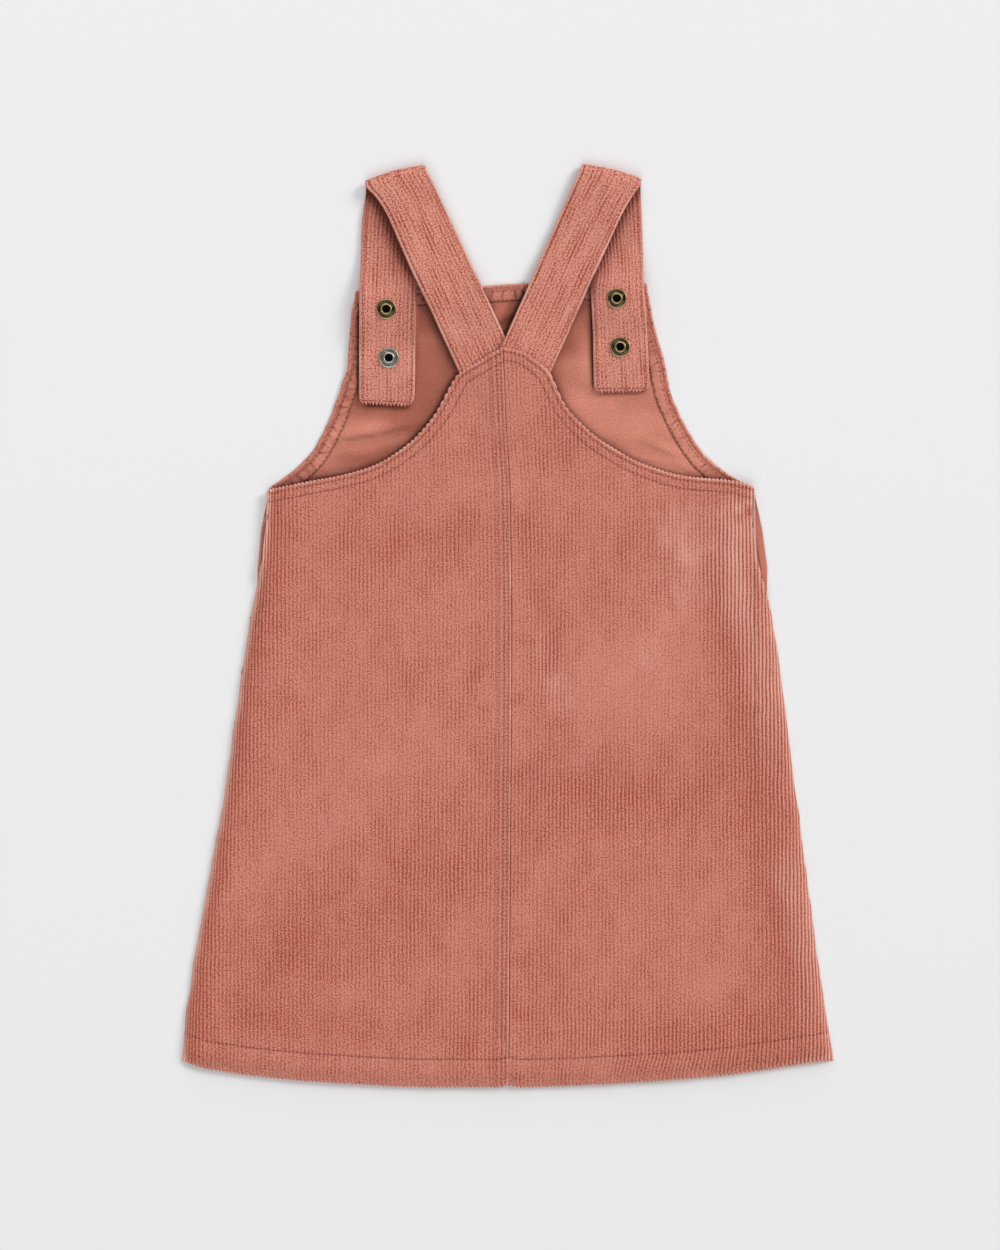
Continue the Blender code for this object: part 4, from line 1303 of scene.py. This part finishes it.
# facings inside the bib
facing = {
    "inset": 2.9,                # from the bib's edge to the facing
    "width": {"left": 9.4, "right": 9.4, "top": 9.9},      # from the bib's edge to its inner edge
    "wall": 0.32,
    "gap": 0.06,
    "edgeRow": 3.5,              # outer row of stitching, from the bib's edge
    "innerRow": 0.9,             # inner row, from the facing's inner edge
    "steps": (0, 0.25, 0.6, 0.9, 1.5, 2.4, 3.4, 4.6, 5.8, 6.7, 7.2, 7.7, 8.2),
    "puckerPace": 6.3,
}


def facingPiece(name, path, outward, width, fine):
    # path is the bib's edge, and outward points out of the bib at each of its places
    gaps = np.array(facing["steps"]) / facing["steps"][-1]
    gaps = facing["inset"] + gaps * (width - facing["inset"])
    rows = path[None, :, :] - outward[None, :, :] * gaps[:, None, None]
    run = runAlong(path)
    x, y = rows[..., 0], rows[..., 1]
    # puckers between the two rows of stitching, leaning and uneven, each with a line of painted
    # shade along one side
    pucker, creaseShade = np.zeros_like(x), np.zeros_like(x)
    spots = np.arange(4.0, run[-1], facing["puckerPace"])
    source = np.random.default_rng(fine)
    for spot in spots:
        lean = source.uniform(-0.6, 0.6)
        tall = source.uniform(0.2, 0.75)
        line = spot + source.uniform(-1.6, 1.6) + lean * (gaps[:, None] - 5)
        wide = source.uniform(1.0, 2.2)
        pucker += tall * bell(run[None, :], line, wide)
        creaseShade += 0.7 * tall * bell(run[None, :], line - wide, 0.6)
    between = np.sin(np.clip((gaps - 1.2) / (width - 1.8), 0, 1) * pi)[:, None]
    edges = np.minimum(gaps - gaps[0], gaps[-1] - gaps)[:, None]
    puff = 0.22 * between
    # both of its long edges are rounded
    rolled = 0.26 * (1 - np.sqrt(np.clip(1 - np.clip(1 - edges / 0.5, 0, 1) ** 2, 0, 1)))
    z = bibHeight(x, y) + facing["gap"] + facing["wall"] + puff + pucker * between - rolled
    base = np.stack([x, y, z], -1)
    stitched = np.maximum(bell(gaps, facing["edgeRow"], 0.4),
                          bell(gaps, width - facing["innerRow"], 0.45))
    proud = -0.28 * stitched[:, None] * np.ones_like(x)
    # painted shade at the stitching, in the puckers' creases and along the facing's inner edge
    dashed = 0.5 + 0.4 * np.cos(run * 2 * pi / stitch["pace"])[None, :]
    shade = np.maximum(0.8 * stitched[:, None] * dashed, bibShade(x, y)) + creaseShade * between
    shade = shade + 0.7 * bell(gaps, gaps[-1], 0.5)[:, None]
    shade = np.clip(shade + 0.05 * waves(x, y, fine, 7), 0, 0.95)
    # painted light, lighter on the facing and on the puckers' tops
    lit = np.clip(bibLit(x, y) + 0.28 + 0.3 * pucker * between, 0, 1)
    uv = np.stack([x, y], -1)
    return sheetPiece(name, base, proud, facing["wall"], uv, {"shade": shade, "lit": lit},
                      smoothSide, smoothSide)


def edgeNormals(path):
    way = np.gradient(path, axis=0)
    way = way / np.linalg.norm(way, axis=1, keepdims=True)
    return np.stack([-way[:, 1], way[:, 0]], -1)


def facingPaths():
    ys = np.linspace(84.0, 200.0, 250)
    left = np.stack([bibLine["left"](ys), ys], -1)
    right = np.stack([bibLine["right"](ys), ys], -1)[::-1]
    xs = np.linspace(cut["bibTop"][0][0] + 1.4, cut["bibTop"][-1][0] - 1.4, 330)
    top = np.stack([xs, bibTopLine(xs)], -1)
    return {"left": left, "right": right, "top": top}


bibEdges = facingPaths()
facings = {}
for label, edge in bibEdges.items():
    nodeName = "bib_top_facing" if label == "top" else "front_armhole_facing_" + label
    facings[nodeName] = facingPiece("facing_" + label, edge, edgeNormals(edge),
                                    facing["width"][label], 60 + len(facings))


def bibStitches():
    rows = []
    for label, edge in bibEdges.items():
        for gap in (facing["edgeRow"], facing["width"][label] - facing["innerRow"]):
            line = edge - edgeNormals(edge) * gap
            x, y = line[:, 0], line[:, 1]
            z = bibHeight(x, y) + facing["gap"] + facing["wall"] + 0.02
            normals = np.zeros((len(x), 3))
            normals[:, 2] = 1
            rows.append(placeStitches(np.stack([x, y, z], -1), normals, 0.5))
    return rows


stitchesBib = stitchPiece("stitches_bib", bibStitches())


# straps
strapShape = {
    "wall": 2.3,
    "foldGap": 2.6,              # space inside the shoulder fold at its outer corner
    "foldGapInner": 1.4,
    "foldBow": 1.6,
    "edgeRow": 2.0,
    "rowLength": 3.2,
    "width": 35.5,
    "edgeSteps": (0.35, 0.8, 1.5, 2.0, 2.6),      # places across it near each edge
    "endSteps": (0.25, 0.7, 1.2, 1.7, 2.1, 2.6),  # rows near each end
    "edgeRound": 1.1,
    "toothLength": 3.0,
    "underShade": {"left": 0.30, "right": 0.12},  # far part of the shade of the leg on top
    # each leg's lines across it, from the free end: x, y and height of its left and right ends
    "left": {
        "front": [
            (-92.6, 140.2, 2.0, -60.6, 138.4, 2.0), (-93.9, 144.5, 2.4, -58.7, 144.0, 2.4),
            (-93.8, 152.0, 3.3, -58.5, 152.0, 3.3), (-93.7, 161.0, 4.4, -58.3, 161.0, 4.4),
            (-93.7, 176.0, 4.6, -58.2, 176.0, 4.6), (-93.6, 184.0, 6.2, -58.0, 184.0, 6.2),
            (-93.5, 192.0, 8.0, -57.8, 192.0, 8.0), (-93.4, 206.0, 8.0, -57.6, 206.0, 8.0),
            (-93.2, 216.0, 5.4, -57.2, 216.0, 5.4), (-92.7, 226.0, 2.6, -57.0, 226.0, 2.6),
            (-92.5, 238.0, 0.8, -56.6, 238.5, 0.8), (-92.0, 253.0, 0.4, -55.4, 256.0, 0.4),
        ],
        "fold": [(-90.3, 280.0), (-52.1, 290.2)],
        "back": [
            (-83.3, 270.0, 5.4, -46.8, 279.0, 4.6), (-76.3, 259.0, 5.6, -43.4, 271.0, 3.8),
            (-68.4, 241.0, 5.8, -36.0, 255.5, 2.8), (-61.7, 225.5, 6.4, -28.9, 240.5, 2.8),
            (-55.2, 211.5, 5.0, -22.4, 226.5, 3.4), (-48.2, 197.5, 4.5, -15.9, 212.5, 4.1),
            (-41.2, 182.3, 3.0, -8.8, 197.3, 3.6), (-34.4, 167.4, 2.4, -1.9, 182.4, 2.4),
            (-30.9, 159.8, 2.3, 1.6, 174.8, 2.3), (-27.2, 151.7, 2.3, 5.3, 166.7, 2.3),
        ],
    },
    "right": {
        "front": [
            (56.0, 146.9, 2.0, 87.3, 147.9, 2.0), (54.0, 151.5, 2.4, 89.3, 151.5, 2.4),
            (53.8, 159.0, 3.3, 88.9, 159.0, 3.3), (53.6, 168.0, 4.4, 88.4, 168.0, 4.4),
            (53.4, 183.0, 4.6, 87.6, 183.0, 4.6), (53.0, 190.7, 6.2, 87.1, 190.7, 6.2),
            (52.6, 198.7, 8.0, 86.6, 198.7, 8.0), (52.0, 212.7, 8.0, 85.6, 212.7, 8.0),
            (53.6, 221.0, 5.4, 85.2, 221.0, 5.4), (53.2, 230.0, 2.6, 85.0, 230.0, 2.6),
            (51.6, 242.5, 0.8, 84.7, 242.0, 0.8), (49.4, 259.0, 0.4, 84.3, 256.0, 0.4),
        ],
        "fold": [(46.4, 290.9), (84.3, 281.4)],
        "back": [
            (42.5, 280.5, 4.6, 78.8, 271.0, 5.4), (38.2, 271.0, 3.8, 71.8, 259.0, 5.6),
            (31.1, 255.0, 2.8, 63.6, 241.0, 5.6), (24.5, 240.0, 3.0, 56.6, 225.8, 6.0),
            (18.0, 225.5, 4.2, 50.2, 211.6, 6.2), (11.6, 211.0, 5.0, 43.8, 197.4, 5.0),
            (5.0, 196.5, 5.8, 37.3, 182.7, 4.0), (-1.4, 182.1, 6.0, 30.6, 168.0, 4.8),
            (-4.7, 174.8, 5.0, 27.0, 160.0, 4.9), (-8.3, 166.7, 5.0, 23.3, 151.8, 4.9),
        ],
    },
}


def strapLines(side):
    # lines across the strap's middle surface: left end, right end and share of the bow
    shape = strapShape[side]
    half = strapShape["wall"] / 2
    turns = 8                                             # steps round the shoulder fold
    lines = [(x1, y1, z1 + half, x2, y2, z2 + half, 0.0) for x1, y1, z1, x2, y2, z2
             in shape["front"]]
    ends = [Vector((x, y, 0)) for x, y in shape["fold"]]
    crease = (ends[1] - ends[0]).normalized()
    outward = Vector((-crease.y, crease.x, 0))
    gaps = (strapShape["foldGap"], strapShape["foldGapInner"])
    if side == "right":
        gaps = gaps[::-1]
    foot = shape["front"][-1][2] + half
    for k in range(turns + 1):
        angle = pi * (k / turns - 0.5)
        places = []
        for end, gap in zip(ends, gaps):
            radius = gap / 2 + half
            shift = outward * (radius * math.cos(angle) - radius - half)
            places += [end.x + shift.x, end.y + shift.y,
                       foot + radius + radius * math.sin(angle)]
        lines.append((*places, math.cos(angle * 0.7)))
    lines += [(x1, y1, z1 + half, x2, y2, z2 + half, 0.0) for x1, y1, z1, x2, y2, z2
              in shape["back"]]
    return np.array(lines), np.array(outward)


def smoothLines(lines, spacing):
    # even rows along the strap, read from a smooth curve through the lines
    middle = (lines[:, 0:3] + lines[:, 3:6]) / 2
    run = runAlong(middle)
    count = int(run[-1] / spacing)
    fine = np.linspace(0, run[-1], count + 1)
    start = np.array(strapShape["endSteps"])
    fine = np.sort(np.concatenate([fine, start, run[-1] - start]))
    values = [smoothCurve(list(zip(run, lines[:, i])))(fine) for i in range(lines.shape[1])]
    return np.array(values).T, fine


def fineLine(points):
    # the same line with places about half a millimetre apart
    run = runAlong(points)
    places = np.arange(0, run[-1], 0.5)
    return np.stack([np.interp(places, run, points[:, i]) for i in range(2)], -1)


def strapColumns():
    # distances across the strap, a few for each rib and more near its edges
    width, pitch = strapShape["width"], rib["pitch"]
    ribs = np.arange(int(width / pitch) + 1)
    places = ((ribs[:, None] + np.array(rib["phases"])[None, :]) * pitch).ravel()
    places = places[places < width - 0.3]
    extra = np.array(strapShape["edgeSteps"])
    return np.unique(np.concatenate([places, extra, width - extra, [width]]).round(3))


def strapMiddle(rows, over, outward):
    # the surface midway between the strap's two faces, bowed out at the shoulder fold
    left, right, bow = rows[:, None, 0:3], rows[:, None, 3:6], rows[:, None, 6:7]
    share = (over / strapShape["width"])[None, :, None]
    middle = left + (right - left) * share
    return middle + outward * bow * strapShape["foldBow"] * 4 * share * (1 - share)


def strapThickness(fromEdge, fromEnd):
    # from the middle surface to a face, thinner at the rounded edges
    rounded = np.clip(1 - np.minimum(fromEdge, fromEnd) / strapShape["edgeRound"], 0, 1)
    return strapShape["wall"] / 2 * (0.10 + 0.90 * np.sqrt(np.clip(1 - rounded ** 2, 0, 1)))


def strapRibs(over, run, fromEdge, fromEnd, streaks):
    # uneven ribs, pinched by the stitching, that end in small beads
    phase = over / rib["pitch"]
    pinch = np.maximum(bell(fromEdge, strapShape["edgeRow"], 0.45),
                       bell(fromEnd, strapShape["edgeRow"], 0.45))
    uneven = rng.uniform(0.75, 1.2, 18)[np.floor(phase + 1e-6).astype(int)][None, :]
    shape = ribShape(phase)[None, :]
    beads = rib["bead"] * 0.3 * bell(fromEnd, 0, 0.9) * ribTooth(phase)[None, :]
    proud = rib["height"] * shape * uneven * (1 - 0.25 * streaks) * (1 - 0.35 * pinch) + beads
    return proud - 0.18 * pinch + 0.14 * waves(over[None, :], run[:, None], 73, 11)


def strapTeeth(rows, over, fromEdge, fromEnd):
    # at the free end the cut ribs reach past its line, and the corners are a little rounded
    reach = rows[1, 0:3] - rows[3, 0:3]
    reach = reach / np.linalg.norm(reach)
    zigzag = 1 - np.abs(2 * np.mod(over / rib["pitch"], 1) - 1)[None, :]
    teeth = (strapShape["toothLength"] * zigzag - 1.3) * bell(fromEnd, 0, 0.9)
    corners = 1.3 * (1 - step(fromEdge, 0, 2.4)) * bell(fromEnd, 0, 2.5)
    return teeth[..., None] * reach - corners[..., None] * reach


def strapMarks(side, rows, over, run, middle, fromEdge, fromEnd, streaks):
    # painted shadow on the leg underneath, beside the edge that crosses it
    fold = rows[:, 6].argmax()
    crossing = rows[fold:, 0:2] if side == "left" else rows[fold:, 3:5]
    inFront = (run < run[fold] - 4)[:, None] * np.ones_like(fromEdge)
    away = edgeDistance(middle[..., 0], middle[..., 1], fineLine(crossing))
    coveredShadow = 0.42 * bell(away, 0, 4.5) + strapShape["underShade"][side] * bell(away, 0, 15)
    coveredShadow = coveredShadow * inFront
    # painted shade on the front leg's upper part, and a painted highlight along both edges
    nap_and_painted_light = 0.30 * streaks + 0.24 - 0.28 * inFront * step(run, 40, 80)[:, None]
    nap_and_painted_light = nap_and_painted_light + 0.8 * bell(fromEdge, 0.4, 0.8) * step(fromEnd, 1, 3)
    # painted shade at the end's stitching, the painted shadow of the crossing leg, and painted
    # dashes of shade along the edge rows
    return {
        "shade": np.clip(0.5 * bell(fromEnd, strapShape["edgeRow"], 0.5) + coveredShadow, 0, 0.9),
        "undershadow": coveredShadow,
        "row": (0.42 + 0.15 * streaks) * bell(fromEdge, strapShape["edgeRow"], 0.5),
        "nap_and_painted_light": nap_and_painted_light,
        "crisp": 0.18 + 0.45 * waves(over[None, :], run[:, None] / 5, 74, 5) - 0.36 * inFront,
    }


def closeTube():
    # joins the grid's two long sides and fills both ends of the tube
    bpy.ops.object.mode_set(mode="EDIT")
    bpy.ops.mesh.select_all(action="SELECT")
    bpy.ops.mesh.remove_doubles(threshold=0.00001)
    bpy.ops.mesh.select_all(action="SELECT")
    bpy.ops.mesh.fill_holes(sides=0)
    bpy.ops.mesh.select_all(action="SELECT")
    bpy.ops.mesh.normals_make_consistent(inside=False)
    bpy.ops.object.mode_set(mode="OBJECT")
    bpy.ops.object.shade_smooth()


def strapStitchRows(over, run, middle, normal, thick):
    # along both edges and across the free end, on both faces
    width, edgeRow = strapShape["width"], strapShape["edgeRow"]
    inner = (over > 2) & (over < width - 2)
    rows = []
    for target in (edgeRow, width - edgeRow):
        column = int(np.argmin(np.abs(over - target)))
        for flip in (1, -1):
            face = (middle + flip * normal * (thick + 0.02)[..., None])[:, column]
            rows.append(placeStitches(face, (normal * flip)[:, column], 1.0))
    endRow = int(np.argmin(np.abs(run - edgeRow)))
    for flip in (1, -1):
        face = (middle + flip * normal * (thick + 0.02)[..., None])[endRow]
        rows.append(placeStitches(face[inner], (normal * flip)[endRow][inner], 0.6))
    return rows


def makeStrap(side):
    lines, outward = strapLines(side)
    rows, run = smoothLines(lines, strapShape["rowLength"])
    over = strapColumns()
    middle = strapMiddle(rows, over, outward)
    normal = -gridNormals(middle)
    fromEdge = np.minimum(over, strapShape["width"] - over)[None, :] * np.ones_like(run)[:, None]
    fromEnd = run[:, None] * np.ones_like(fromEdge)
    streaks = waves(over[None, :], run[:, None] / 5, 71 if side == "left" else 72, 6)
    thick = strapThickness(fromEdge, fromEnd)
    out = (thick + strapRibs(over, run, fromEdge, fromEnd, streaks))[..., None]
    push = strapTeeth(rows, over, fromEdge, fromEnd)
    topSide, underSide = middle + normal * out + push, middle - normal * out + push
    loop = np.concatenate([topSide, underSide[:, ::-1], topSide[:, :1]], 1)
    loop[..., 2] = np.maximum(loop[..., 2], lowestCloth)
    piece = addGrid("strap_sewn_" + side, loop)
    # the under side's cloth map is kept well apart from the upper side's
    clothX = np.concatenate([over, 100 + over[::-1], over[:1]])
    clothMap = np.stack(np.broadcast_arrays(clothX[None, :], run[:, None]), -1).reshape(-1, 2)
    setCloth(piece.data, clothMap)
    marks = strapMarks(side, rows, over, run, middle, fromEdge, fromEnd, streaks)
    for mark, values in marks.items():
        values = np.concatenate([values, values[:, ::-1], values[:, :1]], 1)
        setAttribute(piece.data, mark, values)
    piece.data.materials.append(strapCorduroy)
    closeTube()
    print(piece.name, "made with", len(piece.data.polygons) * 2, "triangles")
    return piece, strapStitchRows(over, run, middle, normal, thick)


strapPieces, strapStitches = {}, []
for sideName in ("left", "right"):
    strapPieces[sideName], newRows = makeStrap(sideName)
    strapStitches += newRows
stitchesStraps = stitchPiece("stitches_straps", strapStitches)
print(stitchCount, "stitches placed")


# ring snaps
snap = {
    "radius": 6.25,
    "thick": 1.3,
    "down": 0.85,                # the rim's top under the top of the whole snap
    # inset and rise of each ring of faces, from the rim to the dark hole
    "rings": [(0.14, 0.12), (0.46, 0.06), (0.20, -0.40), (1.72, 0.0), (0.20, 0.52),
              (0.28, 0.14), (0.48, -0.04), (0.26, -0.30), (0.12, -0.42)],
    "bars": 11,                  # plain ridges in each of the two arcs
    "barArc": 130,
    "barStarts": (25, 205),
    "barRing": 4.55,
    "barRadius": 0.16,
    "barLength": 1.15,
    "hole": 2.5,
    "wornFrom": 0.20,            # under the rim's top, where the patina starts to wear off
    "wornOver": 0.28,
}


def makeSnap(node, look):
    low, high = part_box(node)
    x, y = (low.x + high.x) / 2, (low.y + high.y) / 2
    top = high.z - snap["down"] * mm
    deselectAll()
    bpy.ops.mesh.primitive_cylinder_add(vertices=48, radius=snap["radius"] * mm,
                                        depth=snap["thick"] * mm,
                                        location=(x, y, top - snap["thick"] / 2 * mm))
    ring = bpy.context.object
    ring.name = node.replace("snap", "ring")
    bpy.ops.object.transform_apply(location=True, rotation=True, scale=True)
    bpy.ops.object.mode_set(mode="EDIT")
    bpy.ops.mesh.select_mode(type="FACE")
    bpy.ops.mesh.select_all(action="DESELECT")
    bpy.ops.object.mode_set(mode="OBJECT")
    for face in ring.data.polygons:
        face.select = face.normal.z > 0.9
    bpy.ops.object.mode_set(mode="EDIT")
    for inset, rise in snap["rings"]:
        bpy.ops.mesh.inset(thickness=inset * mm, depth=rise * mm)
    bpy.ops.object.mode_set(mode="OBJECT")
    bevel = ring.modifiers.new("soft_edges", "BEVEL")
    bevel.width = 0.09 * mm
    bevel.segments = 2
    bevel.limit_method = "ANGLE"
    bpy.ops.object.modifier_apply(modifier="soft_edges")
    # ridges around the sunk band
    parts = [ring]
    for start in snap["barStarts"]:
        for k in range(snap["bars"]):
            angle = math.radians(start + k * snap["barArc"] / (snap["bars"] - 1))
            away = snap["barRing"] * mm
            deselectAll()
            bpy.ops.mesh.primitive_cylinder_add(
                vertices=8, radius=snap["barRadius"] * mm, depth=snap["barLength"] * mm,
                location=(x + away * math.cos(angle), y + away * math.sin(angle),
                          top - snap["barRadius"] * mm),
                rotation=(0, pi / 2, angle))
            parts.append(bpy.context.object)
    deselectAll()
    for part in parts:
        part.select_set(True)
    bpy.context.view_layer.objects.active = ring
    bpy.ops.object.transform_apply(location=True, rotation=True, scale=True)
    bpy.ops.object.join()
    mesh = ring.data
    bpy.ops.object.shade_smooth_by_angle(angle=math.radians(38))
    heights = np.array([v.co.z for v in mesh.vertices])
    away = np.array([math.hypot(v.co.x - x, v.co.y - y) for v in mesh.vertices]) / mm
    worn = heights - (top - snap["wornFrom"] * mm)
    raised = np.clip(worn / (snap["wornOver"] * mm), 0, 1)
    # the hole's near-black is painted shade
    raised = np.where(away < snap["hole"], -1.0, raised)     # below 0 the metal shows as a dark hole
    setAttribute(mesh, "raised", raised)
    mesh.materials.clear()
    mesh.materials.append(look)
    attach(ring, "root")
    return ring


snapLooks = {
    "snap_left_upper": brassFinish,
    "snap_left_lower": silverFinish,
    "snap_right_upper": brassFinish,
    "snap_right_lower": brassFinish,
}
rings = {node: makeSnap(node, look) for node, look in snapLooks.items()}
for node, ring in rings.items():
    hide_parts(node)
for node in ("bib_stud_left", "bib_stud_right"):
    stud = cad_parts[node]
    stud.data.materials.clear()
    stud.data.materials.append(brassFinish)
print("snaps made")


# each piece of cloth goes under the root, and the frame's solid that it stands for is hidden
declareSheet(backLeft, "back_panel_left")
declareSheet(backRight, "back_panel_right")
declareSheet(frontPiece, "front_panel")
declareSheet(facings["bib_top_facing"], "bib_top_facing")
for sideName in ("left", "right"):
    node = "front_armhole_facing_" + sideName
    declareSheet(facings[node], node)
    declareSheet(strapPieces[sideName], "strap_" + sideName)


# floor, light and camera
stage = {
    # painted light falloff: the floor is a little darker towards -Y
    "floorFar": (0.880, 0.880, 0.888),
    "floorNear": (0.838, 0.838, 0.842),
    "viewHeight": 787.5,
    "centre": (-5.0, 0.6),
    "away": 3.2,
    "key": {"turn": 32, "rise": 33, "spread": 24, "power": 1.58},
    "top": {"turn": 98, "rise": 20, "spread": 45, "power": 1.12},
    "fill": {"turn": 266, "rise": 52, "spread": 60, "power": 1.06},
    "room": 0.325,
}


def makeFloor():
    deselectAll()
    bpy.ops.mesh.primitive_plane_add(size=6, location=(0, 0, 0))
    floor = bpy.context.object
    floor.name = "floor"
    made, tree, shader = newMaterial("pale_paper", 0.85)
    w = Wiring(tree)
    place = w.add("ShaderNodeTexCoord")
    split = w.add("ShaderNodeSeparateXYZ")
    w.join(place.outputs["Object"], split.inputs[0])
    # painted light falloff: the floor's colour darkens towards -Y
    share = w.math("MULTIPLY_ADD", split.outputs[1], 1.25, 0.5)
    w.join(w.mix(share, stage["floorNear"], stage["floorFar"]), shader.inputs["Base Color"])
    shader.inputs["Specular IOR Level"].default_value = 0.1
    floor.data.materials.append(made)


def makeLight(name, settings, tint):
    # a broad far light: turn is its compass way from +X, rise its height in degrees
    lamp = bpy.data.lights.new(name, "SUN")
    lamp.angle = math.radians(settings["spread"])
    lamp.energy = settings["power"]
    lamp.color = tint
    made = bpy.data.objects.new(name, lamp)
    bpy.context.scene.collection.objects.link(made)
    turn, rise = math.radians(settings["turn"]), math.radians(settings["rise"])
    way = Vector((math.cos(turn) * math.cos(rise), math.sin(turn) * math.cos(rise),
                  math.sin(rise)))
    made.location = way * 3
    made.rotation_euler = way.to_track_quat("Z", "Y").to_euler()


def makeCamera():
    data = bpy.data.cameras.new("overhead")
    data.sensor_fit = "VERTICAL"
    data.sensor_height = 24.0
    data.lens = 24.0 * stage["away"] / (stage["viewHeight"] * mm)
    data.clip_end = 20
    camera = bpy.data.objects.new("overhead", data)
    bpy.context.scene.collection.objects.link(camera)
    camera.location = (stage["centre"][0] * mm, stage["centre"][1] * mm, stage["away"])
    bpy.context.scene.camera = camera


makeFloor()
makeLight("key", stage["key"], (1.0, 0.995, 0.985))
makeLight("top", stage["top"], (1.0, 1.0, 1.0))
makeLight("fill", stage["fill"], (1.0, 0.995, 0.985))
makeCamera()
world = bpy.data.worlds.new("soft_room")
world.use_nodes = True
world.node_tree.nodes["Background"].inputs["Color"].default_value = (0.95, 0.97, 1.0, 1)
world.node_tree.nodes["Background"].inputs["Strength"].default_value = stage["room"]
bpy.context.scene.world = world
bpy.context.scene.view_settings.view_transform = "Standard"
bpy.context.view_layer.update()
